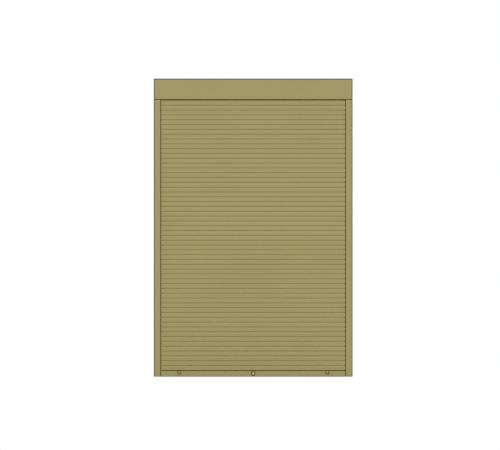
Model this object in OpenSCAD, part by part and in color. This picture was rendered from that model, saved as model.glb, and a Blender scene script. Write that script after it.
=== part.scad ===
// Exterior roller shutter: a curtain of interlocking slats that runs in two side guides and winds
// on a spring balanced octagonal shaft inside a square casing, with a key lock in its end slat.
// Millimetres, +Z up, front towards -Y. The origin is the bottom centre of the whole shutter.

/* [Overall] */
// Width over the casing and the two guides
overall_w = 1600; // [900:1:2200]
// Height from the sill to the top of the casing
overall_h = 2400; // [1400:1:2700]

/* [Casing] */
// Height of the casing
casing_h = 165; // [160:1:205]
// Depth of the casing
casing_d = 165; // [160:1:205]
// Thickness of the casing's sheet
sheet_t = 1.5; // [1:0.1:2]
// Outer radius of the casing's folded edge
fold_r = 6; // [3:0.5:10]
// Thickness of an end cap's plate
cap_plate_t = 3; // [2:0.5:4]
// Depth of the rim that an end cap carries inside the sheets
cap_rim_d = 12; // [10:1:16]
// Thickness of an end cap's rim and ribs
cap_rib_t = 2.5; // [2:0.5:4]
// Length of the spigot that an end cap plugs into its guide
spigot_len = 60; // [30:5:100]
// Height of the rubber gasket under the casing
gasket_h = 5.5; // [3:0.5:6]
// Depth of the folded lips on the casing's sheets
lip_d = 12; // [8:1:16]
// Depth of the hood's lower lip in front of the curtain
mouth_lip = 4; // [3:0.5:5]
// Radius of the casing screws' shanks
screw_r = 1.6; // [1.2:0.1:2]
// Radius of the casing screws' heads
screw_head_r = 3.5; // [3:0.1:4]
// Number of screws along the inspection cover's back edge
cover_screw_n = 5; // [3:1:9]

/* [Guides] */
// Width of a guide, seen from the front
guide_w = 53; // [48:1:75]
// Depth of a guide
guide_d = 22; // [20:1:30]
// Wall of the guide's extrusion
guide_wall = 1.6; // [1.2:0.1:2]
// Depth of the channel that the curtain runs in
channel_depth = 38; // [34:1:40]
// Width of the seals in the guides' mouths
guide_lip = 9; // [8:0.5:12]
// Width of the channel's mouth between the seals
channel_mouth = 11.6; // [11:0.1:13]
// Height of a guide's foot plate
foot_t = 3; // [2:0.5:6]
// How far the seals stand out of the guides
seal_nose = 5; // [2:0.5:6]
// Radius of the wall fixing holes
fix_r = 3.25; // [2.5:0.05:4]
// Radius of the screwdriver holes behind the fixing holes
fix_access_r = 6; // [5:0.1:7]
// Height of the lowest fixing hole
fix_low_z = 150; // [100:5:250]
// Height of the highest fixing hole
fix_high_z = 2100; // [1000:5:2150]
// Number of fixing holes in a guide
fix_n = 4; // [2:1:6]

/* [Slats] */
// Height that one slat adds to the curtain
slat_pitch = 38.8; // [37:0.1:44]
// Thickness of a slat
slat_t = 8; // [7.5:0.1:8.5]
// Wall of a slat
slat_wall = 1; // [0.8:0.1:1.2]
// How far a slat's front bulges
slat_bow = 1; // [0.6:0.1:1.4]
// How far the slats reach into each guide
slat_entry = 22; // [18:1:24]
// Radius of the bulb along a slat's top
bulb_r = 1.7; // [1.6:0.05:1.8]
// Radius of the pocket along a slat's bottom
pocket_r = 2.5; // [2.4:0.05:2.6]
// Width of the pocket's mouth
pocket_mouth = 2; // [1.8:0.1:2.2]
// Thickness of the neck that carries the bulb
neck_t = 0.9; // [0.8:0.1:1]
// Gap between two slats' faces
slat_gap = 0.8; // [0.4:0.1:1]
// Chamfer along the edges of a slat's front
slat_chamfer = 1; // [0.6:0.1:1.2]

/* [End slat] */
// Height of the end slat with its seal
end_h = 51; // [50:1:60]
// Thickness of the end slat
end_t = 9; // [8.6:0.1:9.2]
// Wall of the end slat
end_wall = 1.4; // [1.2:0.1:1.6]
// Height of the rubber lip that shows under the end slat
bottom_lip_h = 3.5; // [3:0.5:5]
// Height of the groove along the end slat's top
end_groove_h = 5; // [2.5:0.5:5]
// Depth of the groove along the end slat's top
end_groove_d = 3.3; // [2:0.1:3.6]
// Thickness of the sliders on the end slat's ends
slider_t = 2.5; // [2:0.5:4]

/* [Stops] */
// Diameter of a stop plug
stop_d = 22; // [20:0.5:28]
// Length of a stop plug
stop_len = 22; // [16:1:30]
// Height of the stop plugs' centres
stop_z = 34.5; // [32:0.5:35]
// Distance of a stop plug from the guide's inner edge
stop_inset = 150; // [80:5:300]
// Thickness of the rubber gaskets behind the stop plugs and the escutcheon
trim_t = 1.5; // [1:0.1:2]
// How far those gaskets show around what they carry
trim_rim = 3; // [1:0.5:3.5]

/* [Lock] */
// Height of the lock's axis
lock_z = 27; // [26.8:0.1:27.4]
// Width of the oval escutcheon
escutcheon_w = 28; // [26:1:32]
// Height of the oval escutcheon
escutcheon_h = 36; // [32:1:36]
// Thickness of the escutcheon
escutcheon_t = 4; // [3:0.5:5]
// Radius of the lock's barrel
barrel_r = 10; // [9:0.1:10.5]
// Radius of the turning plug in the barrel
plug_r = 6; // [5:0.1:7]
// Radius of the cam disc
cam_r = 15.5; // [15:0.1:15.8]
// Thickness of the cam disc
cam_t = 2.4; // [2:0.1:2.6]
// Radius of the bolts' pins at rest on the cam
cam_start_r = 5.2; // [5:0.1:5.4]
// Travel of a bolt over the cam's quarter turn
bolt_throw = 8; // [6:0.5:8]
// Radius of the bolts' drive pins
bolt_pin_r = 1.5; // [1.2:0.1:1.6]
// Thickness of a bolt
bolt_t = 2.4; // [2:0.1:2.6]
// Height of a bolt
bolt_h = 12; // [8:1:14]
// Height of a keeper block
keeper_h = 36; // [24:2:60]

/* [Shaft and spring] */
// Distance across the flats of the octagonal shaft
shaft_af = 60; // [56:1:64]
// Wall of the shaft's tube
shaft_wall = 1; // [0.8:0.1:1.5]
// Distance from a shaft end to the end cap's outer face
shaft_end_gap = 48; // [46:1:80]
// Radius of the spring's fixed axle
axle_r = 8; // [7:0.5:9]
// Radius of the journal in the ball bearing
journal_r = 7.5; // [7:0.5:8]
// Outer radius of the ball bearing
bearing_r = 17.5; // [16.5:0.5:18.5]
// Width of the ball bearing
bearing_w = 11; // [9:0.5:12]
// Number of balls in the bearing
ball_n = 8; // [6:1:8]
// Mean radius of the torsion spring's coil
spring_r = 18; // [16:0.5:20]
// Radius of the torsion spring's wire
spring_wire_r = 2.5; // [2:0.1:3]
// Length of the torsion spring
spring_len = 320; // [240:10:340]
// Number of the torsion spring's curls
spring_curls = 28; // [16:1:30]
// Number of straps that hang the curtain on the shaft
strap_n = 4; // [2:1:6]
// Width of a hanger strap
strap_w = 25; // [18:1:40]
// Thickness of a hanger strap
strap_t = 0.8; // [0.5:0.1:1]

/* [Hidden] */
$fn = 64;
// Clearance of pieces that slide into each other
slip = 0.2;
// Radial clearance of a turning journal
running = 0.06;
// Clearance between the curtain's end slat and the seals
seal_gap = 0.3;
// Gap left at the top of the curtain's travel
top_gap = 0.5;
// Amount by which a cut passes the face that it opens
past = 1;

half_w = overall_w / 2;
guide_h = overall_h - casing_h;
guide_in = half_w - guide_w;
web_x = guide_in + channel_depth;
chamber_x0 = web_x + guide_wall;
chamber_x1 = half_w - guide_wall;
channel_half = guide_d / 2 - guide_wall;
guide_edge_r = 1.2;
hook_t = 1.4;
hook_d = 1.6;
seal_fit = 0.1;
stop_proud = stop_len + trim_t - (guide_d - end_t) / 2;
front_y = (stop_proud - casing_d) / 2;
back_y = front_y + casing_d;
curtain_y = front_y + guide_d / 2;
axis_y = front_y + casing_d / 2;
axis_z = guide_h + casing_h / 2;
gasket_z = guide_h - gasket_h;

// Slats: profile in thickness (first) and height (second) from the curtain's middle plane
slat_end = guide_in + slat_entry;
face_h = slat_pitch - slat_gap;
bow_r = (pow(face_h / 2, 2) + pow(slat_bow, 2)) / (2 * slat_bow);
hinge_u = slat_t / 2 - slat_wall - pocket_r;
pocket_sill = 1.6;
pocket_v = pocket_r + pocket_sill;
bulb_drop = 0.5;
hang_v = pocket_v - bulb_drop;
neck_root = 0.5;
count_slack = 0.001;
slat_n = floor((guide_h - end_h) / slat_pitch + count_slack) + 1;
slat_groups = 19;
top_bulb_z = end_h + slat_n * slat_pitch + hang_v;

// End slat
end_floor_h = 7.1;
end_roof_h = 2.9;
end_edge_r = 0.6;
end_chamber_v0 = bottom_lip_h + end_floor_h;
end_chamber_v1 = end_h - end_groove_h - end_roof_h;
end_inner = end_t / 2 - end_wall;
end_half = slat_end - slider_t;
stop_x = guide_in - stop_inset;
stop_seat = 6;
end_front_y = curtain_y - end_t / 2;
end_back_y = curtain_y + end_t / 2;

// Lock: depths measured from the curtain's middle plane
cam_u1 = -0.4;
cam_u0 = cam_u1 - cam_t;
bolt_u0 = 0;
bolt_u1 = bolt_t;
pin_u0 = cam_u0 + slip;
bolt_back = 0.5;
bolt_heel = 2;
bolt_out = slat_end - bolt_back;
bolt_in = cam_start_r - bolt_pin_r - bolt_heel;
slot_play = 0.25;
slot_half = bolt_pin_r + slot_play;
tail_r = 2.5;
tail_flat = 2;
tail_play = 0.05;
tail_gap = 0.15;
keyway_w = 1.6;
keyway_h = 7;
keyway_floor = 2;
plug_proud = 0.3;
barrel_proud = 0.5;
window_side = 2;
lock_window_w = 2 * (cam_r + window_side);
lock_cover_lap = 13;
lock_cover_w = lock_window_w + 2 * lock_cover_lap;
lock_cover_t = 2;
cam_gap = 0.3;
cover_screw_in = 7;
cover_screw_x = lock_window_w / 2 + cover_screw_in;
keeper_gap = 2;
keeper_play = 0.6;
keeper_x0 = slat_end + keeper_gap;
keeper_z0 = lock_z + bolt_h / 2 + keeper_play;

// Shaft: positions along X, from the left end bracket to the right bearing
shaft_end = half_w - shaft_end_gap;
shaft_in_af = shaft_af - 2 * shaft_wall;
plug_len = 60;
plug_flange_t = 5;
holder_t = 4;
holder_w = 70;
holder_corner_r = 8;
holder_skin = 1;
holder_x = half_w - cap_plate_t;
socket_len = 18;
socket_wall = 8;
socket_w = axle_r * 1.6;
holder_screw_in = 8.4;
holder_screw_at = holder_w / 2 - holder_screw_in;
bearing_gap = 2;
bearing_x1 = holder_x - holder_t - bearing_gap;
bearing_x0 = bearing_x1 - bearing_w;
cup_wall = 3.5;
cup_lip = 1;
cup_step = 3;
journal_step = 2.5;
ball_r = 3;
ball_pitch_r = (bearing_r + journal_r) / 2;
ball_play = 0.1;
groove_r = ball_r + ball_play;
race_half = 1.9;
anchor_len = 25;
anchor_gap = 8;
anchor_x = -shaft_end + plug_len + anchor_gap;
spring_x0 = anchor_x + anchor_len;
spring_x1 = spring_x0 + spring_len;
carrier_len = 30;
shoulder_len = 20;
coil_gap = 0.5;
coil_play = 0.4;
collar_rim = 2;
curl_rings = 8;
curl_step = 360 / curl_rings;
// The wire's straight pieces cut inside the coil's circle, and the shoulders stay clear of them
shoulder_r = (spring_r - spring_wire_r) * cos(curl_step / 2) - coil_play;
axle_over = 12;
axle_end_x = spring_x1 + carrier_len + axle_over;
strap_margin = 60;
strap_span = 2 * (shaft_end - plug_len - strap_margin);
flat_turn = 45;
flat_dir = [-sin(flat_turn), cos(flat_turn)];
flat_along = [cos(flat_turn), sin(flat_turn)];

// Casing screws
rim_mid = cap_plate_t + cap_rim_d / 2;
screw_len = 8;
screw_head_t = 2.2;
cap_skin = 0.8;
cover_gap = 1;
cover_y0 = front_y + guide_d + cover_gap;
sheet_end = half_w - cap_plate_t;
screw_shares = [0.25, 0.75];
rear_screw_z = [for (s = screw_shares) guide_h + casing_h * s];
top_screw_y = [for (s = screw_shares) front_y + casing_d * s];
cover_screw_front = 15;
cover_screw_back = 30;
cover_screw_y = [cover_y0 + lip_d + cover_screw_front, back_y - cover_screw_back];

function two_digits(i) = str(i < 10 ? "0" : "", i);
function slat_node(g) = str("slats_", two_digits(g + 1));
function group_start(g) = floor(g * slat_n / slat_groups);
function bezier(p, t) = pow(1 - t, 3) * p[0] + 3 * t * pow(1 - t, 2) * p[1]
    + 3 * t * t * (1 - t) * p[2] + pow(t, 3) * p[3];
function square_to(d) = [-d.y, d.x] / norm(d);

OLIVE = "#A29867";
STEEL = "#A8ABAE";
RUBBER = "#2B2B29";
PLASTIC = "#3A3B3A";
BRASS = "#B79A55";

FIXED_NODES = [
    "casing_hood", "casing_rear", "inspection_cover", "end_cap_left", "end_cap_right",
    "casing_screws", "casing_gasket", "guide_left", "guide_right", "guide_flanges",
    "guide_seals", "curtain_inlets", "guide_feet", "lock_keepers", "axle_bracket", "bearing_holder",
    "bearing_outer", "spring_axle", "spring_anchor"
];
SHAFT_NODES = [
    "octagonal_shaft", "shaft_plug_left", "shaft_plug_right", "bearing_inner", "bearing_balls",
    "spring_carrier", "torsion_spring", "hanger_straps"
];
END_NODES = [
    "end_slat", "bottom_seal", "end_sliders", "stop_plugs", "trim_gaskets", "lock_escutcheon",
    "lock_barrel", "lock_cover", "bolt_guides", "end_slat_screws", "lock_plug", "lock_cam",
    "lock_bolt_left", "lock_bolt_right"
];
SLAT_NODES = [for (g = [0:slat_groups - 1]) slat_node(g)];

// Extrudes a profile drawn in Y and Z from x0 to x1
module along_x(x0, x1) {
    translate([x0, 0, 0])
        rotate([90, 0, 90])
            linear_extrude(x1 - x0)
                children();
}

// Extrudes an outline drawn in X and Z from y0 to y1
module along_y(y0, y1) {
    translate([0, y1, 0])
        rotate([90, 0, 0])
            linear_extrude(y1 - y0)
                children();
}

// Extrudes an outline drawn in X and Y from z0 to z1
module along_z(z0, z1) {
    translate([0, 0, z0])
        linear_extrude(z1 - z0)
            children();
}

module cylinder_x(x0, x1, r, y = 0, z = 0) {
    translate([x0, y, z])
        rotate([0, 90, 0])
            cylinder(h = x1 - x0, r = r);
}

module cylinder_y(y0, y1, r, x = 0, z = 0) {
    translate([x, y1, z])
        rotate([90, 0, 0])
            cylinder(h = y1 - y0, r = r);
}

module both_sides() {
    children();
    mirror([1, 0, 0])
        children();
}

// A rectangle between two corners
module box2(u0, v0, u1, v1) {
    translate([u0, v0])
        square([u1 - u0, v1 - v0]);
}

// A rectangle between two corners with round corners
module round2(u0, v0, u1, v1, r) {
    box2(u0 + r, v0, u1 - r, v1);
    box2(u0, v0 + r, u1, v1 - r);
    for (u = [u0 + r, u1 - r])
        for (v = [v0 + r, v1 - r])
            translate([u, v])
                circle(r = r);
}

// An octagon by its distance across the flats
module octagon(af) {
    half_side = 22.5;
    rotate(half_side)
        circle(d = af / cos(half_side), $fn = 8);
}

// Outline of the casing with its folded front edge, inset from the outside
module casing_outline(inset) {
    round2(front_y + inset, guide_h + inset, back_y - inset, overall_h - inset, fold_r - inset);
    box2(front_y + inset, guide_h + inset, back_y - inset, axis_z);
    box2(axis_y, guide_h + inset, back_y - inset, overall_h - inset);
}

// Places a countersunk screw's hole or body: along +Z, head at the origin
module flush_screw(r, head_r, length) {
    translate([0, 0, -length])
        cylinder(h = length, r = r);
    translate([0, 0, r - head_r])
        cylinder(h = head_r - r, r1 = r, r2 = head_r);
}

module at_top_screws() {
    both_sides()
        for (y = top_screw_y)
            translate([half_w - rim_mid, y, overall_h])
                children();
}

module at_rear_screws() {
    both_sides()
        for (z = rear_screw_z)
            translate([half_w - rim_mid, back_y, z])
                rotate([-90, 0, 0])
                    children();
}

module at_cover_end_screws() {
    both_sides()
        for (y = cover_screw_y)
            translate([half_w - rim_mid, y, guide_h])
                rotate([180, 0, 0])
                    children();
}

module at_cover_back_screws() {
    end_margin = 60;
    span = overall_w - 2 * (rim_mid + end_margin);
    step = span / (cover_screw_n - 1);
    for (i = [0:cover_screw_n - 1])
        translate([i * step - span / 2, back_y - sheet_t - lip_d / 2 - slip, guide_h])
            rotate([180, 0, 0])
                children();
}

// Front and top of the casing in one folded sheet, with a lip along its lower edge
module casing_hood() {
    color(OLIVE)
        difference() {
            union() {
                along_x(-sheet_end, sheet_end)
                    difference() {
                        casing_outline(0);
                        box2(front_y + sheet_t, guide_h - past, axis_y, axis_z);
                        box2(axis_y - past, guide_h - past, back_y + past, overall_h - sheet_t);
                        casing_outline(sheet_t);
                        box2(back_y - sheet_t - slip, guide_h, back_y + past, overall_h + past);
                    }
                along_x(-guide_in, guide_in)
                    box2(front_y, guide_h, front_y + mouth_lip, guide_h + sheet_t);
            }
            at_top_screws()
                flush_screw(screw_r + slip / 2, screw_head_r + slip / 2, screw_len);
        }
}

// Back of the casing, with lips that carry the hood and the inspection cover
module casing_rear() {
    color(OLIVE)
        difference() {
            along_x(-sheet_end, sheet_end)
                union() {
                    box2(back_y - sheet_t, guide_h, back_y, overall_h);
                    box2(back_y - lip_d - sheet_t, overall_h - 2 * sheet_t - slip / 2, back_y - sheet_t,
                        overall_h - sheet_t - slip / 2);
                    box2(back_y - lip_d - sheet_t, guide_h + sheet_t + slip / 2, back_y - sheet_t,
                        guide_h + 2 * sheet_t + slip / 2);
                }
            both_sides()
                along_x(sheet_end - cap_rim_d - slip, sheet_end + past)
                    box2(back_y - lip_d - sheet_t - past, guide_h + sheet_t, back_y - sheet_t,
                        overall_h - sheet_t);
            at_rear_screws()
                flush_screw(screw_r + slip / 2, screw_head_r + slip / 2, screw_len);
            at_cover_back_screws()
                flush_screw(screw_r + slip / 2, screw_head_r + slip / 2, screw_len);
        }
}

// Removable bottom of the casing, with a turned-up lip at the curtain's mouth and two stiffening beads
module inspection_cover() {
    bead_r = 4;
    bead_shares = [0.38, 0.62];
    bead_y = [for (s = bead_shares) cover_y0 + (back_y - cover_y0) * s];
    color(OLIVE)
        difference() {
            along_x(-sheet_end, sheet_end)
                difference() {
                    union() {
                        box2(cover_y0, guide_h, back_y - sheet_t - slip, guide_h + sheet_t);
                        box2(cover_y0, guide_h, cover_y0 + sheet_t, guide_h + lip_d);
                        for (y = bead_y)
                            intersection() {
                                translate([y, guide_h])
                                    circle(r = bead_r);
                                box2(y - bead_r, guide_h, y + bead_r, guide_h + bead_r);
                            }
                    }
                    for (y = bead_y)
                        translate([y, guide_h])
                            circle(r = bead_r - sheet_t);
                }
            both_sides()
                along_x(sheet_end - cap_rim_d - slip, sheet_end + past)
                    box2(cover_y0 - past, guide_h + sheet_t, back_y, guide_h + lip_d + past);
            at_cover_end_screws()
                flush_screw(screw_r + slip / 2, screw_head_r + slip / 2, screw_len);
            at_cover_back_screws()
                flush_screw(screw_r + slip / 2, screw_head_r + slip / 2, screw_len);
        }
}

// Outline of what plugs into a guide's fixing chamber, less a wall for its hollow
module chamber_plug(wall) {
    inset = slip + wall;
    box2(chamber_x0 + inset, curtain_y - channel_half + inset, chamber_x1 - inset,
        curtain_y + channel_half - inset);
}

// End cap: a cast plate with a rim inside the sheets, ribs, a hub and the guide's spigot
module end_cap() {
    inset = sheet_t + slip / 2;
    rib_setback = 3;
    rib_x0 = sheet_end - cap_rim_d + rib_setback;
    root_h = 6;
    color(OLIVE)
        difference() {
            union() {
                along_x(sheet_end, half_w)
                    casing_outline(0);
                along_x(sheet_end - cap_rim_d, sheet_end)
                    difference() {
                        casing_outline(inset);
                        casing_outline(inset + cap_rib_t);
                        box2(front_y, guide_h, cover_y0 + sheet_t, guide_h + lip_d);
                    }
                along_x(rib_x0, sheet_end)
                    intersection() {
                        casing_outline(inset);
                        difference() {
                            union() {
                                for (a = [45:90:315])
                                    translate([axis_y, axis_z])
                                        rotate(a)
                                            box2(0, -cap_rib_t / 2, casing_d, cap_rib_t / 2);
                                holder_outline(slip + cap_rib_t);
                            }
                            holder_outline(slip);
                            box2(front_y, guide_h, cover_y0 + sheet_t, guide_h + lip_d);
                        }
                    }
                along_z(guide_h - spigot_len, guide_h)
                    chamber_plug(0);
                along_z(guide_h - past, guide_h + lip_d + root_h)
                    box2(chamber_x0 + slip, curtain_y - channel_half + slip, sheet_end,
                        curtain_y + channel_half - slip);
            }
            along_z(guide_h - spigot_len - past, guide_h - root_h)
                chamber_plug(cap_rib_t);
            at_top_screws()
                flush_screw(screw_r + slip / 2, screw_head_r + slip / 2, screw_len);
            at_rear_screws()
                flush_screw(screw_r + slip / 2, screw_head_r + slip / 2, screw_len);
            at_cover_end_screws()
                flush_screw(screw_r + slip / 2, screw_head_r + slip / 2, screw_len);
            holder_screw_holes();
        }
}

module end_cap_left() {
    mirror([1, 0, 0])
        end_cap();
}

module end_cap_right() {
    end_cap();
}

// Shanks of the four screws that hold a bearing holder on its end cap
module holder_screw_holes() {
    r = screw_r + slip / 2;
    for (y = [-1, 1])
        for (z = [-1, 1])
            cylinder_x(holder_x - holder_t - past, half_w - cap_skin, r, axis_y + y * holder_screw_at,
                axis_z + z * holder_screw_at);
}

module casing_screws() {
    color(STEEL) {
        at_top_screws()
            flush_screw(screw_r, screw_head_r, screw_len);
        at_rear_screws()
            flush_screw(screw_r, screw_head_r, screw_len);
        at_cover_end_screws()
            flush_screw(screw_r, screw_head_r, screw_len);
        at_cover_back_screws()
            flush_screw(screw_r, screw_head_r, screw_len);
        both_sides()
            for (y = [-1, 1])
                for (z = [-1, 1]) {
                    sy = axis_y + y * holder_screw_at;
                    sz = axis_z + z * holder_screw_at;
                    head_x = holder_x - holder_t;
                    cylinder_x(head_x, half_w - cap_skin - slip, screw_r, sy, sz);
                    cylinder_x(head_x - screw_head_t, head_x, screw_head_r, sy, sz);
                }
    }
}

// Rubber strip along the mouth's front edge and a pad on each guide's top
module casing_gasket() {
    color(RUBBER)
        along_z(gasket_z, guide_h)
            union() {
                box2(-guide_in, front_y, guide_in, front_y + mouth_lip);
                both_sides()
                    difference() {
                        box2(guide_in, front_y, half_w, front_y + guide_d);
                        box2(guide_in - past, curtain_y - channel_half, web_x, curtain_y + channel_half);
                        box2(chamber_x0, curtain_y - channel_half, chamber_x1, curtain_y + channel_half);
                    }
            }
}

// Section of the right guide's fixing chamber, whose inner wall is the channel's web
module chamber_section() {
    difference() {
        union() {
            round2(web_x, front_y, half_w, front_y + guide_d, guide_edge_r);
            box2(web_x, front_y, chamber_x0, front_y + guide_d);
        }
        box2(chamber_x0, curtain_y - channel_half, chamber_x1, curtain_y + channel_half);
    }
}

// Section of the right guide's rear flange, with two hooks that hold a seal's root
module flange_section() {
    hook_y = curtain_y + channel_half - hook_d;
    edge_r = guide_wall / 3;
    union() {
        round2(guide_in, front_y + guide_d - guide_wall, web_x, front_y + guide_d, edge_r);
        box2(web_x - guide_wall, front_y + guide_d - guide_wall, web_x, front_y + guide_d);
        for (u = [0, guide_lip - hook_t])
            translate([guide_in + u, hook_y])
                square([hook_t, hook_d + guide_wall / 2]);
    }
}

// Turns a section drawn behind the curtain's middle plane to the front as well
module both_faces() {
    for (s = [0, 1])
        translate([0, curtain_y])
            mirror([0, s])
                translate([0, -curtain_y])
                    children();
}

module guide_chamber() {
    color(OLIVE)
        difference() {
            along_z(foot_t, gasket_z)
                chamber_section();
            for (i = [0:fix_n - 1]) {
                z = fix_low_z + i * (fix_high_z - fix_low_z) / (fix_n - 1);
                cylinder_x(chamber_x0 + past, half_w + past, fix_r, curtain_y, z);
                cylinder_x(web_x - past, chamber_x0 + past, fix_access_r, curtain_y, z);
            }
        }
}

module guide_left() {
    mirror([1, 0, 0])
        guide_chamber();
}

module guide_right() {
    guide_chamber();
}

// Front and rear flanges of both guides, on the chambers' webs
module guide_flanges() {
    color(OLIVE)
        both_sides()
            along_z(foot_t, gasket_z)
                both_faces()
                    flange_section();
}

// Four rubber strips: a nose beside the curtain, and a root between a flange's hooks
module guide_seals() {
    nose_in = end_t / 2 + seal_gap;
    hook_in = channel_half - hook_d;
    nose_slope = 0.3;
    nose_tip = 1.4;
    nose_top = seal_nose * 0.7;
    nose_foot = seal_nose * 0.8;
    color(RUBBER)
        both_sides()
            along_z(foot_t, gasket_z)
                both_faces()
                    translate([guide_in, curtain_y])
                        union() {
                            box2(hook_t + seal_fit, hook_in - past, guide_lip - hook_t - seal_fit,
                                channel_half - seal_fit);
                            box2(0, channel_mouth / 2, guide_lip, hook_in - seal_fit);
                            polygon([
                                [0, hook_in - seal_fit], [-nose_top, hook_in - seal_fit - nose_slope],
                                [-seal_nose, nose_in + nose_tip], [-nose_foot, nose_in],
                                [0, channel_mouth / 2]
                            ]);
                        }
}

// Two funnels in the guides' tops, with legs beside the curtain and lips that flare into the casing
module curtain_inlets() {
    leg_t = 3;
    leg_u = channel_half - slip;
    leg_len = 26;
    inlet_z0 = gasket_z - leg_len;
    inlet_z1 = guide_h + leg_len;
    flare = 5;
    flare_z0 = guide_h + 4;
    flare_tip = 2;
    flare_root = 8;
    color(PLASTIC)
        both_sides() {
            along_z(inlet_z0, inlet_z1)
                union() {
                    for (s = [-1, 1])
                        translate([0, curtain_y + s * (leg_u - leg_t / 2)])
                            box2(guide_in + guide_lip + slip, -leg_t / 2, web_x - slip, leg_t / 2);
                    box2(web_x - slip - leg_t, curtain_y - leg_u, web_x - slip, curtain_y + leg_u);
                }
            along_x(guide_in + guide_lip + slip, web_x - slip)
                polygon([
                    [curtain_y + leg_u - leg_t, flare_z0], [curtain_y + leg_u, flare_z0],
                    [curtain_y + leg_u + flare, inlet_z1],
                    [curtain_y + leg_u + flare - leg_t, inlet_z1 + flare_tip],
                    [curtain_y + leg_u - leg_t, inlet_z1 - flare_root]
                ]);
        }
}

// Two foot plugs: a plate under the guide with a drain below the channel, and a tongue in the chamber
module guide_feet() {
    tongue_h = 18;
    color(PLASTIC)
        both_sides() {
            along_z(0, foot_t)
                difference() {
                    round2(guide_in, front_y, half_w, front_y + guide_d, guide_edge_r);
                    box2(slat_end + past, curtain_y - channel_half, web_x, curtain_y + channel_half);
                }
            along_z(foot_t, foot_t + tongue_h)
                difference() {
                    chamber_plug(0);
                    chamber_plug(cap_rib_t);
                }
        }
}

// Two blocks on the channels' floors, just above where the bolts come out
module lock_keepers() {
    ledge_w = 4;
    slope_h = 10;
    hole_r = 2.2;
    hole_skin = 1;
    top_z = keeper_z0 + keeper_h;
    color(STEEL)
        both_sides()
            difference() {
                along_y(curtain_y - channel_half + slip, curtain_y + channel_half - slip)
                    polygon([
                        [keeper_x0, keeper_z0], [web_x, keeper_z0], [web_x, top_z],
                        [web_x - ledge_w, top_z], [keeper_x0, top_z - slope_h]
                    ]);
                cylinder_x(keeper_x0 - past, web_x - hole_skin, hole_r, curtain_y, keeper_z0 + keeper_h / 2);
            }
}

// Plate with round corners on an end cap's inner face
module holder_plate() {
    difference() {
        along_x(holder_x - holder_t, holder_x)
            holder_outline(0);
        holder_screw_holes();
    }
}

// Outline of a bearing holder's plate, grown by a margin
module holder_outline(grow) {
    reach = holder_w / 2 + grow;
    round2(axis_y - reach, axis_z - reach, axis_y + reach, axis_z + reach,
        holder_corner_r + grow);
}

// Socket with a square hole that keeps the spring's axle from turning
module axle_bracket() {
    color(STEEL)
        mirror([1, 0, 0])
            difference() {
                union() {
                    holder_plate();
                    cylinder_x(holder_x - holder_t - socket_len, holder_x - holder_t, axle_r + socket_wall,
                        axis_y, axis_z);
                }
                along_x(holder_x - holder_t - socket_len - past, holder_x - holder_skin)
                    translate([axis_y, axis_z])
                        square(socket_w + slip, center = true);
            }
}

// Cup that holds the ball bearing
module bearing_holder() {
    color(STEEL)
        difference() {
            union() {
                holder_plate();
                cylinder_x(bearing_x0 - cup_lip, holder_x - holder_t, bearing_r + cup_wall, axis_y, axis_z);
            }
            cylinder_x(bearing_x0 - cup_lip - past, bearing_x1, bearing_r + running / 2, axis_y, axis_z);
            cylinder_x(bearing_x1 - past, holder_x - holder_skin, bearing_r - cup_step, axis_y, axis_z);
        }
}

// A bearing ring between two radii with a groove for the balls
module race(r0, r1) {
    translate([bearing_x0, axis_y, axis_z])
        rotate([0, 90, 0])
            rotate_extrude()
                difference() {
                    box2(r0, 0, r1, bearing_w);
                    translate([ball_pitch_r, bearing_w / 2])
                        circle(r = groove_r);
                }
}

module bearing_outer() {
    color(STEEL)
        race(ball_pitch_r + race_half, bearing_r);
}

module bearing_inner() {
    color(STEEL)
        race(journal_r + running / 2, ball_pitch_r - race_half);
}

module bearing_balls() {
    color(STEEL)
        for (i = [0:ball_n - 1])
            translate([(bearing_x0 + bearing_x1) / 2, axis_y, axis_z])
                rotate([i * 360 / ball_n, 0, 0])
                    translate([0, ball_pitch_r, 0])
                        sphere(r = ball_r);
}

// Fixed axle: a round bar with a square end in the bracket's socket
module spring_axle() {
    color(STEEL) {
        cylinder_x(-holder_x + holder_t + socket_len, axle_end_x, axle_r, axis_y, axis_z);
        along_x(-holder_x + holder_skin, -holder_x + holder_t + socket_len)
            translate([axis_y, axis_z])
                square(socket_w, center = true);
    }
}

// Collar clamped on the axle, with a shoulder inside the coil
module spring_anchor() {
    color(STEEL)
        difference() {
            union() {
                cylinder_x(anchor_x, spring_x0 - coil_gap, spring_r + spring_wire_r + collar_rim, axis_y,
                    axis_z);
                cylinder_x(anchor_x, spring_x0 + shoulder_len, shoulder_r, axis_y, axis_z);
            }
            cylinder_x(anchor_x - past, spring_x0 + shoulder_len + past, axle_r + running, axis_y, axis_z);
        }
}

// Tube with a slot for each hanger strap's tab
module octagonal_shaft() {
    slot_side = 0.5;
    slot_half_w = 1.2;
    slot_in = 4;
    slot_over = 2;
    color(STEEL)
        difference() {
            along_x(-shaft_end, shaft_end)
                translate([axis_y, axis_z])
                    difference() {
                        octagon(shaft_af);
                        octagon(shaft_in_af);
                    }
            at_straps()
                along_x(-strap_w / 2 - slot_side, strap_w / 2 + slot_side)
                    translate(strap_foot())
                        rotate(flat_turn)
                            box2(-slot_half_w, -slot_in, slot_half_w, slot_over);
        }
}

// Point on the shaft's upper front flat where a strap is hooked in
function strap_foot() = [axis_y, axis_z] + flat_dir * shaft_af / 2;

module at_straps() {
    for (i = [0:strap_n - 1])
        translate([-strap_span / 2 + (i + 0.5) * strap_span / strap_n, 0, 0])
            children();
}

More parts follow.
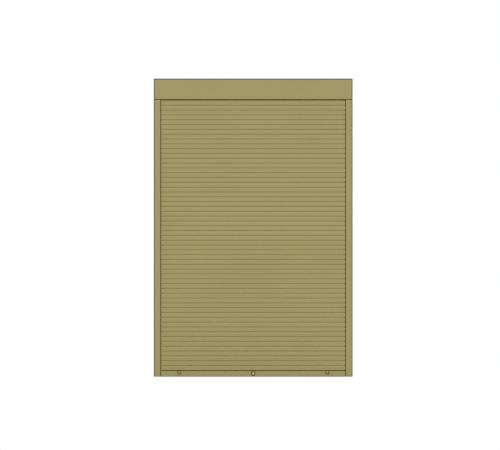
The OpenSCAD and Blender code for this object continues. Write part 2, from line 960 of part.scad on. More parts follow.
// Plug in the shaft's left end, with a bush bore that turns on the axle
module shaft_plug_left() {
    color(PLASTIC)
        difference() {
            union() {
                along_x(-shaft_end, -shaft_end + plug_len)
                    translate([axis_y, axis_z])
                        octagon(shaft_in_af - slip);
                along_x(-shaft_end - plug_flange_t, -shaft_end)
                    translate([axis_y, axis_z])
                        octagon(shaft_af);
            }
            cylinder_x(-shaft_end - plug_flange_t - past, -shaft_end + plug_len + past, axle_r + running,
                axis_y, axis_z);
        }
}

// Plug in the shaft's right end, with the journal of the ball bearing
module shaft_plug_right() {
    color(PLASTIC) {
        along_x(shaft_end - plug_len, shaft_end)
            translate([axis_y, axis_z])
                octagon(shaft_in_af - slip);
        along_x(shaft_end, shaft_end + plug_flange_t)
            translate([axis_y, axis_z])
                octagon(shaft_af);
        cylinder_x(shaft_end + plug_flange_t, bearing_x0 - cup_lip, journal_r + journal_step, axis_y, axis_z);
        cylinder_x(bearing_x0 - cup_lip, bearing_x1, journal_r, axis_y, axis_z);
    }
}

// Octagonal carrier that ties the spring's far end to the shaft
module spring_carrier() {
    color(STEEL)
        difference() {
            union() {
                along_x(spring_x1 + coil_gap, spring_x1 + carrier_len)
                    translate([axis_y, axis_z])
                        octagon(shaft_in_af - slip);
                cylinder_x(spring_x1 - shoulder_len, spring_x1 + carrier_len, shoulder_r, axis_y, axis_z);
            }
            cylinder_x(spring_x1 - shoulder_len - past, spring_x1 + carrier_len + past, axle_r + running,
                axis_y, axis_z);
        }
}

// Torsion spring: one unbroken wire wound as a helix, with 8 rings of 6 sides to a curl
spring_rings = spring_curls * curl_rings;
spring_sides = 6;
spring_start_x = spring_x0 + spring_wire_r;
spring_pitch = (spring_len - 2 * spring_wire_r) / spring_curls;

function spring_point(i) = let (a = i * curl_step)
    [spring_start_x + i * spring_pitch / curl_rings, axis_y + spring_r * cos(a), axis_z + spring_r * sin(a)];
function spring_ring(i) = [
    for (j = [0:spring_sides - 1])
        let (a = i * curl_step, b = j * 360 / spring_sides, out = spring_wire_r * cos(b))
            spring_point(i) + [spring_wire_r * sin(b), out * cos(a), out * sin(a)]
];

// Least distance between two neighbouring curls' wires
echo(spring_gap = spring_pitch - 2 * spring_wire_r);
// How far the end slat rises before its stop plugs reach the gasket under the casing
echo(curtain_lift = gasket_z - stop_z - stop_d / 2 - top_gap);

module torsion_spring() {
    points = [for (i = [0:spring_rings]) each spring_ring(i)];
    walls = [
        for (i = [0:spring_rings - 1])
            for (j = [0:spring_sides - 1])
                let (k = (j + 1) % spring_sides, a = i * spring_sides, b = a + spring_sides)
                    each [[a + j, b + j, a + k], [a + k, b + j, b + k]]
    ];
    last = spring_rings * spring_sides;
    caps = [
        for (j = [1:spring_sides - 2])
            each [[0, j, j + 1], [last, last + j + 1, last + j]]
    ];
    color(STEEL)
        polyhedron(points, concat(walls, caps));
}

// Spring steel straps: a clip on the top slat's bulb, a free bend and a tab in the shaft's slot
module hanger_straps() {
    bulb = [curtain_y + hinge_u, top_bulb_z];
    clip_play = 0.4;
    clip_wall = 1.2;
    clip_mouth = 1.1;
    clip_in = bulb_r + clip_play;
    clip_r = clip_in + clip_wall;
    foot_lift = 0.15;
    tab_len = 6;
    rise = 26;
    lead = 34;
    foot = strap_foot() + flat_dir * (strap_t / 2 + foot_lift);
    start = bulb + [0, clip_r - strap_t / 2];
    path = [start, start + [0, rise], foot - flat_along * lead, foot];
    steps = 14;
    middle = [for (i = [0:steps]) bezier(path, i / steps)];
    across = [
        for (i = [0:steps])
            square_to(middle[min(i + 1, steps)] - middle[max(i - 1, 0)]) * strap_t / 2
    ];
    color(STEEL)
        at_straps()
            along_x(-strap_w / 2, strap_w / 2)
                union() {
                    difference() {
                        translate(bulb)
                            circle(r = clip_r);
                        translate(bulb)
                            circle(r = clip_in);
                        box2(bulb.x - clip_mouth, bulb.y - clip_r - past, bulb.x + clip_mouth, bulb.y);
                    }
                    polygon(concat(
                        [for (i = [0:steps]) middle[i] + across[i]],
                        [for (i = [steps:-1:0]) middle[i] - across[i]]
                    ));
                    translate(foot)
                        rotate(flat_turn)
                            box2(-strap_t / 2, -tab_len, strap_t / 2, strap_t / 2);
                }
}

// Body of a slat: bowed front, flat back, chamfered front edges; inset for its hollow
module slat_body(inset) {
    edge_u = -slat_t / 2 + slat_bow + inset;
    back_u = slat_t / 2 - inset;
    top_v = face_h - inset;
    intersection() {
        translate([bow_r - slat_t / 2, face_h / 2])
            circle(r = bow_r - inset, $fn = 360);
        polygon([
            [edge_u + slat_chamfer, inset], [back_u, inset], [back_u, top_v], [edge_u + slat_chamfer, top_v],
            [edge_u, top_v - slat_chamfer], [-slat_t, top_v - 2 * slat_chamfer],
            [-slat_t, inset + 2 * slat_chamfer], [edge_u, inset + slat_chamfer]
        ]);
    }
}

// Neck and bulb that stand on a profile whose next slat starts at this height
module hinge_bulb(next_v) {
    translate([hinge_u, next_v + hang_v])
        circle(r = bulb_r);
    box2(hinge_u - neck_t / 2, next_v - slat_gap - neck_root, hinge_u + neck_t / 2, next_v + hang_v);
}

// Interlocking slat: a hollow body, a bulb on top and a pocket below that hooks over the next bulb
module slat_section() {
    chamber_v0 = pocket_v + pocket_r + slat_wall;
    difference() {
        union() {
            slat_body(0);
            hinge_bulb(slat_pitch);
        }
        intersection() {
            slat_body(slat_wall);
            box2(-slat_t, chamber_v0, slat_t, face_h - slat_wall);
        }
        translate([hinge_u, pocket_v])
            circle(r = pocket_r);
        box2(hinge_u - pocket_mouth / 2, -past, hinge_u + pocket_mouth / 2, pocket_v);
    }
}

module slats(g) {
    color(OLIVE)
        for (i = [group_start(g):group_start(g + 1) - 1])
            translate([0, curtain_y, end_h + i * slat_pitch])
                along_x(-slat_end, slat_end)
                    slat_section();
}

// Section of the end slat: a wide chamber for the bolts, a seal groove below and the bulb on top
module end_section() {
    difference() {
        union() {
            round2(-end_t / 2, bottom_lip_h, end_t / 2, end_h - slat_gap, end_edge_r);
            hinge_bulb(end_h);
        }
        box2(-end_t / 2 - past, end_h - end_groove_h, -end_t / 2 + end_groove_d, end_h);
        box2(-end_inner, end_chamber_v0, end_inner, end_chamber_v1);
        seal_head(0);
    }
}

// Groove of the bottom seal, or its root when a clearance is given
module seal_head(clear) {
    neck_half = 1.6;
    neck_top = 2.2;
    head_half = 2.9;
    head_v0 = 1.5;
    head_v1 = 5.6;
    translate([0, bottom_lip_h]) {
        box2(clear - neck_half, -past, neck_half - clear, neck_top);
        box2(clear - head_half, head_v0 + clear, head_half - clear, head_v1 - clear);
    }
}

module end_slat() {
    window_r = 2;
    window_half_h = cam_r + cam_gap;
    color(OLIVE)
        difference() {
            translate([0, curtain_y, 0])
                along_x(-end_half, end_half)
                    end_section();
            cylinder_y(end_front_y - past, curtain_y, barrel_r + slip, 0, lock_z);
            along_y(curtain_y, end_back_y + past)
                translate([0, lock_z])
                    round2(-lock_window_w / 2, -window_half_h, lock_window_w / 2, window_half_h, window_r);
            both_sides()
                cylinder_y(end_front_y - past, curtain_y, screw_r + slip / 2, stop_x, stop_z);
            for (x = [-1, 1])
                cylinder_y(curtain_y, end_back_y + past, screw_r + slip / 2, x * cover_screw_x, lock_z);
        }
}

// Rubber lip under the end slat
module bottom_seal() {
    lip_inset = 0.3;
    lip_half = end_t / 2 - lip_inset;
    lip_r = 1.2;
    color(RUBBER)
        translate([0, curtain_y, 0])
            along_x(-guide_in + past, guide_in - past)
                union() {
                    round2(-lip_half, 0, lip_half, bottom_lip_h - slip, lip_r);
                    seal_head(slip);
                }
}

// Outline of the end slat's chamber, less a clearance, with the bolt's slot
module chamber_block() {
    difference() {
        box2(-end_inner + slip, end_chamber_v0 + slip, end_inner - slip, end_chamber_v1 - slip);
        bolt_way();
    }
}

// Section of a bolt with its clearance
module bolt_way() {
    box2(bolt_u0 - slip, lock_z - bolt_h / 2 - slip, bolt_u1 + slip, lock_z + bolt_h / 2 + slip);
}

// Plastic sliders on the end slat's ends, which the bolts pass through
module end_sliders() {
    plug_in = 26;
    color(PLASTIC)
        both_sides()
            translate([0, curtain_y, 0]) {
                along_x(end_half - plug_in, end_half)
                    chamber_block();
                along_x(end_half, slat_end)
                    difference() {
                        round2(-end_t / 2, bottom_lip_h, end_t / 2, end_h - end_groove_h, end_edge_r);
                        bolt_way();
                    }
            }
}

// Blocks in the end slat's chamber that keep the bolts straight
module bolt_guides() {
    block_w = 12;
    block_shares = [0.12, 0.52];
    color(PLASTIC)
        both_sides()
            for (s = block_shares)
                translate([0, curtain_y, 0])
                    along_x(s * end_half, s * end_half + block_w)
                        chamber_block();
}

// Two stop plugs: revolved bumpers with a dished nose and a counterbored screw hole
module stop_plugs() {
    y1 = end_front_y - trim_t;
    hole_r = screw_r + slip / 2;
    bore_play = 0.5;
    bore_r = screw_head_r + bore_play;
    side_r = stop_d / 2;
    base_h = 4;
    taper = 1.5;
    nose_r = 2;
    dish = 1.5;
    color(OLIVE)
        both_sides()
            translate([stop_x, y1, stop_z])
                rotate([90, 0, 0])
                    rotate_extrude()
                        polygon([
                            [hole_r, 0], [side_r, 0], [side_r, base_h], [side_r - taper, stop_len - nose_r],
                            [side_r - taper - nose_r, stop_len], [bore_r + dish, stop_len],
                            [bore_r, stop_len - dish], [bore_r, stop_seat], [hole_r, stop_seat]
                        ]);
}

// An oval, as wide and as tall as stated, made of a circle swept up and down
module oval(w, h) {
    for (s = [-1, 1])
        translate([0, s * (h - w) / 2])
            circle(d = w);
    box2(-w / 2, -(h - w) / 2, w / 2, (h - w) / 2);
}

// Rubber gaskets behind the stop plugs and the escutcheon, and a strip in the end slat's groove
module trim_gaskets() {
    y0 = end_front_y - trim_t;
    strip_inset = 0.5;
    strip_y1 = end_front_y + end_groove_d;
    edge_margin = 2;
    oval_h = min(escutcheon_h + 2 * trim_rim, 2 * (lock_z - bottom_lip_h - edge_margin));
    color(RUBBER) {
        both_sides()
            difference() {
                cylinder_y(y0, end_front_y, stop_d / 2 + trim_rim, stop_x, stop_z);
                cylinder_y(y0 - past, end_front_y + past, screw_r + slip / 2, stop_x, stop_z);
            }
        along_x(-end_half, end_half)
            box2(end_front_y + strip_inset, end_h - end_groove_h, strip_y1, end_h - slat_gap);
        difference() {
            along_y(y0, end_front_y)
                translate([0, lock_z])
                    oval(escutcheon_w + 2 * trim_rim, oval_h);
            cylinder_y(y0 - past, end_front_y + past, barrel_r + slip, 0, lock_z);
        }
    }
}

// Oval plate around the lock, with a stepped rim
module lock_escutcheon() {
    y1 = end_front_y - trim_t;
    step = 1.6;
    rim_t = escutcheon_t * 0.6;
    color(OLIVE)
        difference() {
            union() {
                along_y(y1 - rim_t, y1)
                    translate([0, lock_z])
                        oval(escutcheon_w, escutcheon_h);
                along_y(y1 - escutcheon_t, y1)
                    translate([0, lock_z])
                        oval(escutcheon_w - 2 * step, escutcheon_h - 2 * step);
            }
            cylinder_y(y1 - escutcheon_t - past, y1 + past, barrel_r + slip, 0, lock_z);
        }
}

// Fixed barrel of the lock, through the end slat's front wall
module lock_barrel() {
    y0 = end_front_y - trim_t - escutcheon_t - barrel_proud;
    y1 = end_front_y + end_wall;
    color(OLIVE)
        difference() {
            cylinder_y(y0, y1, barrel_r, 0, lock_z);
            cylinder_y(y0 - past, y1 + past, plug_r + running, 0, lock_z);
        }
}

// Turning plug with a keyway in front and a flatted tail that drives the cam
module lock_plug() {
    y0 = end_front_y - trim_t - escutcheon_t - plug_proud;
    y1 = curtain_y + cam_u0 - tail_gap;
    color(BRASS) {
        difference() {
            cylinder_y(y0, y1, plug_r, 0, lock_z);
            along_y(y0 - past, y1 - keyway_floor)
                translate([0, lock_z])
                    box2(-keyway_w / 2, -keyway_h / 2, keyway_w / 2, keyway_h / 2);
        }
        along_y(y1, curtain_y + cam_u1)
            translate([0, lock_z])
                intersection() {
                    circle(r = tail_r);
                    box2(-tail_flat, -tail_r, tail_flat, tail_r);
                }
    }
}

// Centre line of a cam slot: an even spiral, so that the bolts move in step with the turn
function cam_radius(a) = cam_start_r + bolt_throw * a / 90;
function cam_point(a) = cam_radius(a) * [cos(a), sin(a)];
function cam_way(a) = [cos(a), sin(a)] * bolt_throw * 2 / PI + cam_radius(a) * [-sin(a), cos(a)];

module cam_slot() {
    turn = 7.5;
    polygon(concat(
        [for (a = [0:turn:90]) cam_point(a) + square_to(cam_way(a)) * slot_half],
        [for (a = [90:-turn:0]) cam_point(a) - square_to(cam_way(a)) * slot_half]
    ));
    for (a = [0, 90])
        translate(cam_point(a))
            circle(r = slot_half);
}

// Cam disc with two spiral slots, half a turn apart
module lock_cam() {
    color(STEEL)
        along_y(curtain_y + cam_u0, curtain_y + cam_u1)
            translate([0, lock_z])
                difference() {
                    circle(r = cam_r);
                    for (a = [0, 180])
                        rotate(a)
                            cam_slot();
                    intersection() {
                        circle(r = tail_r + tail_play);
                        box2(-tail_flat - tail_play, -tail_r - past, tail_flat + tail_play, tail_r + past);
                    }
                }
}

// Flat bolt with a drive pin in the cam's slot and a tapered nose
module lock_bolt() {
    nose = 4;
    color(STEEL) {
        along_y(curtain_y + bolt_u0, curtain_y + bolt_u1)
            translate([0, lock_z])
                polygon([
                    [bolt_in, -bolt_h / 2], [bolt_out - nose / 4, -bolt_h / 2],
                    [bolt_out, -bolt_h / 2 + nose], [bolt_out, bolt_h / 2], [bolt_in, bolt_h / 2]
                ]);
        cylinder_y(curtain_y + pin_u0, curtain_y + bolt_u0, bolt_pin_r, cam_start_r, lock_z);
    }
}

module lock_bolt_left() {
    mirror([1, 0, 0])
        lock_bolt();
}

module lock_bolt_right() {
    lock_bolt();
}

// Plate over the lock's window in the end slat's back
module lock_cover() {
    lap = 3;
    half_h = cam_r + lap;
    corner_r = 4;
    y1 = end_back_y + lock_cover_t;
    color(OLIVE)
        difference() {
            along_y(end_back_y, y1)
                round2(-lock_cover_w / 2, lock_z - half_h, lock_cover_w / 2, lock_z + half_h, corner_r);
            for (x = [-cover_screw_x, cover_screw_x])
                cylinder_y(end_back_y - past, y1 + past, screw_r + slip / 2, x, lock_z);
        }
}

// Screws of the stop plugs and of the lock's cover
module end_slat_screws() {
    cover_y1 = end_back_y + lock_cover_t;
    stop_head_y = end_front_y - trim_t - stop_seat;
    color(STEEL) {
        both_sides() {
            cylinder_y(stop_head_y, end_front_y + end_wall, screw_r, stop_x, stop_z);
            cylinder_y(stop_head_y - screw_head_t, stop_head_y, screw_head_r, stop_x, stop_z);
        }
        for (x = [-cover_screw_x, cover_screw_x]) {
            cylinder_y(end_back_y - end_wall, cover_y1, screw_r, x, lock_z);
            cylinder_y(cover_y1, cover_y1 + screw_head_t, screw_head_r, x, lock_z);
        }
    }
}

casing_hood();
casing_rear();
inspection_cover();
end_cap_left();
end_cap_right();
casing_screws();
casing_gasket();
guide_left();
guide_right();
guide_flanges();
guide_seals();
curtain_inlets();
guide_feet();
lock_keepers();
axle_bracket();
bearing_holder();
bearing_outer();
spring_axle();
spring_anchor();
octagonal_shaft();
shaft_plug_left();
shaft_plug_right();
bearing_inner();
bearing_balls();
spring_carrier();
torsion_spring();
hanger_straps();
end_slat();
bottom_seal();
end_sliders();
stop_plugs();
trim_gaskets();
lock_escutcheon();
lock_barrel();
lock_cover();
bolt_guides();
end_slat_screws();
lock_plug();
lock_cam();
lock_bolt_left();
lock_bolt_right();
for (g = [0:slat_groups - 1])
    slats(g);
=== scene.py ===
"""Looks of an exterior roller shutter: finishes, smooth slats, fittings and the studio around them."""

import logging
import math
from collections.abc import Sequence
from dataclasses import dataclass, field
from enum import Enum
from typing import Any, Union

import bmesh
import bpy
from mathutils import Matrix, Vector


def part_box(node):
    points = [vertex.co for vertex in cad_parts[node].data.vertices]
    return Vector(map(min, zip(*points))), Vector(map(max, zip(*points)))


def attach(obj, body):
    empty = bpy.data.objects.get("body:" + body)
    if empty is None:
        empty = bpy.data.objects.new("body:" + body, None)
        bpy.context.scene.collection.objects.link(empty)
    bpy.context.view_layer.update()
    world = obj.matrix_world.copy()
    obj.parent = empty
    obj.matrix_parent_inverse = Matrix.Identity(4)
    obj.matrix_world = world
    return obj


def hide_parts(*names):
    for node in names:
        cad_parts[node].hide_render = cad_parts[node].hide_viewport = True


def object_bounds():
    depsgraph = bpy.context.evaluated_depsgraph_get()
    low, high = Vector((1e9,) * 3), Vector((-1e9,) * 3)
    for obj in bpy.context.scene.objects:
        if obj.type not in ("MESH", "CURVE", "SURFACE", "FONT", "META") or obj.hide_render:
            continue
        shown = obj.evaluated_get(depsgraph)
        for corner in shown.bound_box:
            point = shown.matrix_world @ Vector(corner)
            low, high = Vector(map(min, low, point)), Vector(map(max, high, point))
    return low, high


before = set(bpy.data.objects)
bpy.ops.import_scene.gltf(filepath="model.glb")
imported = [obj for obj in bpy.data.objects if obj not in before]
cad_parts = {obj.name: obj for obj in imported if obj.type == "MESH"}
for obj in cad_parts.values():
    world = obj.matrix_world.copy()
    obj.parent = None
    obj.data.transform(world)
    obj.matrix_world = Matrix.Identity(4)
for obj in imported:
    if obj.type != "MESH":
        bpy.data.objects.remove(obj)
CAD_LOW, CAD_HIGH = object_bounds()
CASING_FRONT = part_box("casing_hood")[0].y

log = logging.getLogger("shutter")

MM = 0.001
NEW_MERGE = 0.002 * MM
CAD_MERGE = 0.001 * MM
WELD = 0.005 * MM
FLAT_ANGLE = math.radians(0.5)
BROKEN_EDGE_ANGLE = math.radians(40)
NOISE_MEAN = 0.5
PLUG_BORE = 4.0 * MM
PLATE_STEP = 0.6
PLATE_ARC_STEPS = 28

Triple = tuple[float, float, float]
Point = tuple[float, float]
Loop = list[Point]
Colour = Triple
Box = tuple[Vector, Vector]


class Axis(Enum):
    """Direction that a section is extruded or revolved along, with its number in a vector."""

    X = 0
    Y = 1
    Z = 2

    def place(self, u: float, v: float, w: float) -> Vector:
        """Put a section's point on this axis.

        Args:
            u: The point's first coordinate.
            v: Its second coordinate.
            w: Distance along the axis.

        Returns:
            The point in the shared frame.
        """
        spot = [u, v]
        spot.insert(self.value, w)
        return Vector(spot)

    def across(self, point: Vector) -> Point:
        """The two coordinates of a point that are not along this axis."""
        return tuple(point[axis.value] for axis in Axis if axis is not self)


class Wire:
    """A shader socket that can stand in a Python expression."""

    def __init__(self, graph: "Graph", socket: bpy.types.NodeSocket) -> None:
        """Keep the socket and the graph that its maths goes to."""
        self.graph = graph
        self.socket = socket

    def __add__(self, other: "Value") -> "Wire":
        """Sum of two values."""
        return self.graph.maths("ADD", self, other)

    def __radd__(self, other: "Value") -> "Wire":
        """Sum of two values."""
        return self.graph.maths("ADD", other, self)

    def __sub__(self, other: "Value") -> "Wire":
        """Difference of two values."""
        return self.graph.maths("SUBTRACT", self, other)

    def __rsub__(self, other: "Value") -> "Wire":
        """Difference of two values."""
        return self.graph.maths("SUBTRACT", other, self)

    def __mul__(self, other: "Value") -> "Wire":
        """Product of two values."""
        return self.graph.maths("MULTIPLY", self, other)

    def __rmul__(self, other: "Value") -> "Wire":
        """Product of two values."""
        return self.graph.maths("MULTIPLY", other, self)

    def largest(self, other: "Value") -> "Wire":
        """Larger of two values."""
        return self.graph.maths("MAXIMUM", self, other)

    def size(self) -> "Wire":
        """This value without its sign."""
        return self.graph.maths("ABSOLUTE", self, 0.0)

    def between(self, low: float, high: float) -> "Wire":
        """Turn this value into a smooth share.

        Args:
            low: Value of share 0.
            high: Value of share 1.

        Returns:
            The share, kept within 0 and 1.
        """
        settings = {"interpolation_type": "SMOOTHSTEP"}
        sockets = {"Value": self, "From Min": low, "From Max": high}
        return self.graph.node("ShaderNodeMapRange", settings, sockets)


Value = Union[Wire, float, int]


class MixSocket:
    """Numbers of a Mix node's sockets for colours, whose names other types share."""

    SHARE = 0
    FIRST = 6
    SECOND = 7
    RESULT = 2


class Graph:
    """The node tree of one material or of the world."""

    def __init__(self, tree: bpy.types.NodeTree) -> None:
        """Empty the tree.

        Args:
            tree: The tree that the nodes go to.
        """
        self.tree = tree
        self.tree.nodes.clear()

    def node(
        self,
        kind: str,
        settings: dict[str, Any] | None = None,
        sockets: dict[str | int, Any] | None = None,
        output: str | int = 0,
    ) -> Wire | None:
        """Add one node.

        Args:
            kind: Blender's name of the node's type.
            settings: Properties that are set before any socket.
            sockets: Values or links of the inputs, by name or number.
            output: Name or number of the output that is wanted.

        Returns:
            The wanted output, or nothing from a node that has none.
        """
        made = self.tree.nodes.new(kind)
        for name, value in (settings or {}).items():
            setattr(made, name, value)
        for name, value in (sockets or {}).items():
            socket = made.inputs[name]
            if isinstance(value, Wire):
                self.tree.links.new(value.socket, socket)
            elif socket.type == "RGBA":
                socket.default_value = (*value, 1.0)
            else:
                socket.default_value = value
        return Wire(self, made.outputs[output]) if made.outputs else None

    def maths(self, operation: str, first: Value, second: Value) -> Wire:
        """Add a Math node on two values.

        Args:
            operation: Blender's name of the operation.
            first: First operand.
            second: Second operand.

        Returns:
            The result.
        """
        return self.node("ShaderNodeMath", {"operation": operation}, {0: first, 1: second})

    def place(self) -> Wire:
        """Position on the piece, in metres of the shared frame."""
        return self.node("ShaderNodeTexCoord", output="Object")

    def noise(self, scale: Union[float, Triple], detail: float) -> Wire:
        """Add a noise texture.

        Args:
            scale: Grains in a metre, one number or one for each axis.
            detail: Octaves of finer noise.

        Returns:
            The noise, around its mean.
        """
        place = self.place()
        if isinstance(scale, tuple):
            place = self.node("ShaderNodeMapping", {}, {"Vector": place, "Scale": scale})
            scale = 1.0
        sockets = {"Vector": place, "Scale": scale, "Detail": detail}
        return self.node("ShaderNodeTexNoise", {}, sockets)

    def mix(self, share: Value, first: Union[Wire, Colour], second: Union[Wire, Colour]) -> Wire:
        """Mix two colours.

        Args:
            share: How much of the second colour shows, from 0 to 1.
            first: Colour at 0.
            second: Colour at 1.

        Returns:
            The mixed colour.
        """
        sockets = {MixSocket.SHARE: share, MixSocket.FIRST: first, MixSocket.SECOND: second}
        return self.node("ShaderNodeMix", {"data_type": "RGBA"}, sockets, MixSocket.RESULT)

    def bump(self, height: Wire, depth: float) -> Wire:
        """Turn a height into a surface normal.

        Args:
            height: Height, from 0 to 1.
            depth: Height of 1, in metres.

        Returns:
            The normal.
        """
        sockets = {"Height": height, "Distance": depth, "Strength": 1.0}
        return self.node("ShaderNodeBump", {}, sockets)

    def surface(self, **sockets: Any) -> None:
        """Close the graph with a surface shader.

        Args:
            sockets: Values or links by name, with an underscore for a space.
        """
        named = {name.replace("_", " "): value for name, value in sockets.items()}
        shader = self.node("ShaderNodeBsdfPrincipled", {}, named)
        self.node("ShaderNodeOutputMaterial", {}, {"Surface": shader})


def darker(colour: Colour, share: float) -> Colour:
    """A colour times a share of its light."""
    return tuple(channel * share for channel in colour)


@dataclass(frozen=True)
class Finish:
    """How one kind of surface looks."""

    name: str
    colour: Colour
    roughness: float
    slot: str

    def material(self) -> bpy.types.Material:
        """Make the finish's material once.

        Returns:
            The material.
        """
        found = bpy.data.materials.get(self.name)
        if found is not None:
            return found
        made = bpy.data.materials.new(self.name)
        made.use_nodes = True
        self.paint(Graph(made.node_tree))
        return made

    def paint(self, graph: Graph) -> None:
        """Fill the graph of this finish's material."""
        raise NotImplementedError

    def shade(self, graph: Graph, share: Value, tones: Point) -> Wire:
        """Vary the finish's colour between two tones.

        Args:
            graph: Graph that the nodes go to.
            share: How much of the second tone shows, from 0 to 1.
            tones: Light of the two tones, as shares of the colour's own.

        Returns:
            The varied colour.
        """
        return graph.mix(share, darker(self.colour, tones[0]), darker(self.colour, tones[1]))


@dataclass(frozen=True)
class PowderCoat(Finish):
    """Baked polyester powder: a fine orange peel, flecks and a slow drift of tone."""

    peel: float = 620.0
    peel_share: float = 0.6
    skin: float = 0.1 * MM
    fleck: float = 2400.0
    fleck_share: float = 0.65
    fleck_gloss: float = 0.1
    drift: float = 1.7
    drift_gloss: float = 0.12
    tone_range: Point = (0.32, 0.68)
    tones: Point = (0.95, 1.05)
    shine: float = 0.35
    # Painted shade, with some dust, on the level edges beside the slats' joints: how much of it, and
    # its tone.
    joint_shade_and_dust: float = 0.0
    joint_shade_and_dust_tone: float = 0.1
    level_range: Point = (0.25, 0.75)

    def paint(self, graph: Graph) -> None:
        """Paint the coat's tone, gloss and skin.

        Args:
            graph: Graph of the material.
        """
        drift = graph.noise(self.drift, detail=3.0)
        fleck = graph.noise(self.fleck, detail=1.0)
        peel = graph.noise(self.peel, detail=2.0)
        tone = (1 - self.fleck_share) * drift + self.fleck_share * fleck
        colour = self.shade(graph, tone.between(*self.tone_range), self.tones)
        # Painted shade with some dust: edges that face up or down beside a joint turn darker.
        if self.joint_shade_and_dust > 0.0:
            shade_and_dust = darker(self.colour, self.joint_shade_and_dust_tone)
            colour = graph.mix(self.joint_shade_and_dust * self.level_edge(graph), colour, shade_and_dust)
        uneven = self.drift_gloss * (drift - NOISE_MEAN) + self.fleck_gloss * (fleck - NOISE_MEAN)
        height = peel * self.peel_share + fleck * (1 - self.peel_share)
        graph.surface(
            Base_Color=colour,
            Roughness=self.roughness + uneven,
            Specular_IOR_Level=self.shine,
            Normal=graph.bump(height, self.skin),
        )

    def level_edge(self, graph: Graph) -> Wire:
        """Where an edge turns up or down beside a joint, which gets painted shade and some dust.

        Args:
            graph: Graph that the nodes go to.

        Returns:
            1 on a level edge and 0 on an upright face.
        """
        normal = graph.node("ShaderNodeNewGeometry", output="Normal")
        upward = graph.node("ShaderNodeSeparateXYZ", {}, {0: normal}, Axis.Z.name)
        return upward.size().between(*self.level_range)


@dataclass(frozen=True)
class Rubber(Finish):
    """Extruded rubber: matt, with a pale bloom and lines along its run."""

    bloom: float = 45.0
    bloom_range: Point = (0.45, 0.8)
    bloom_gloss: float = 0.16
    tones: Point = (1.0, 1.6)
    shine: float = 0.1
    lines: Triple = (4.0, 1900.0, 1900.0)
    line_depth: float = 0.05 * MM

    def paint(self, graph: Graph) -> None:
        """Paint the bloom and the extrusion's lines.

        Args:
            graph: Graph of the material.
        """
        bloom = graph.noise(self.bloom, detail=4.0)
        line = graph.noise(self.lines, detail=1.0)
        graph.surface(
            Base_Color=self.shade(graph, bloom.between(*self.bloom_range), self.tones),
            Roughness=self.roughness + self.bloom_gloss * (bloom - NOISE_MEAN),
            Specular_IOR_Level=self.shine,
            Normal=graph.bump(line, self.line_depth),
        )


@dataclass(frozen=True)
class Moulding(Finish):
    """Moulded plastic with a spark-eroded grain."""

    grain: float = 1500.0
    grain_gloss: float = 0.14
    grain_depth: float = 0.05 * MM
    cloud: float = 60.0
    cloud_range: Point = (0.3, 0.75)
    tones: Point = (0.92, 1.1)
    shine: float = 0.4

    def paint(self, graph: Graph) -> None:
        """Paint the grain and an uneven tone.

        Args:
            graph: Graph of the material.
        """
        grain = graph.noise(self.grain, detail=2.0)
        cloud = graph.noise(self.cloud, detail=3.0)
        graph.surface(
            Base_Color=self.shade(graph, cloud.between(*self.cloud_range), self.tones),
            Roughness=self.roughness + self.grain_gloss * (grain - NOISE_MEAN),
            Specular_IOR_Level=self.shine,
            Normal=graph.bump(grain, self.grain_depth),
        )


@dataclass(frozen=True)
class Galvanised(Finish):
    """Hot-dip zinc with its spangle."""

    spangle: float = 110.0
    spangle_gloss: float = 0.2
    stain: float = 14.0
    stain_share: float = 0.25
    stain_gloss: float = 0.1
    tones: Point = (0.72, 1.18)

    def paint(self, graph: Graph) -> None:
        """Paint crystals of different tone and gloss.

        Args:
            graph: Graph of the material.
        """
        sockets = {"Vector": graph.place(), "Scale": self.spangle}
        crystal = graph.node("ShaderNodeTexVoronoi", {}, sockets, "Color")
        tone = graph.node("ShaderNodeSeparateColor", {}, {"Color": crystal}, "Red")
        stain = graph.noise(self.stain, detail=4.0)
        share = (1 - self.stain_share) * tone + self.stain_share * stain
        uneven = self.spangle_gloss * (tone - NOISE_MEAN) + self.stain_gloss * (stain - NOISE_MEAN)
        graph.surface(
            Base_Color=self.shade(graph, share, self.tones),
            Metallic=1.0,
            Roughness=self.roughness + uneven,
        )


@dataclass(frozen=True)
class BareMetal(Finish):
    """Drawn, ground or turned metal: fine lines along one direction and some tarnish."""

    lines: Triple = (6.0, 2400.0, 2400.0)
    line_gloss: float = 0.12
    line_depth: float = 0.012 * MM
    dull: float = 38.0
    dull_range: Point = (0.45, 0.75)
    dull_gloss: float = 0.15
    tones: Point = (1.05, 0.55)
    tarnish: float = 0.25

    def paint(self, graph: Graph) -> None:
        """Paint the lines and the tarnish.

        Args:
            graph: Graph of the material.
        """
        line = graph.noise(self.lines, detail=2.0)
        dull = graph.noise(self.dull, detail=4.0).between(*self.dull_range)
        uneven = self.line_gloss * (line - NOISE_MEAN) + self.dull_gloss * dull
        graph.surface(
            Base_Color=self.shade(graph, dull * self.tarnish, self.tones),
            Metallic=1.0,
            Roughness=self.roughness + uneven,
            Normal=graph.bump(line, self.line_depth),
        )


OLIVE: Colour = (0.324, 0.277, 0.104)
COAT = PowderCoat("olive_powder_coat", OLIVE, 0.46, "painted_aluminium")
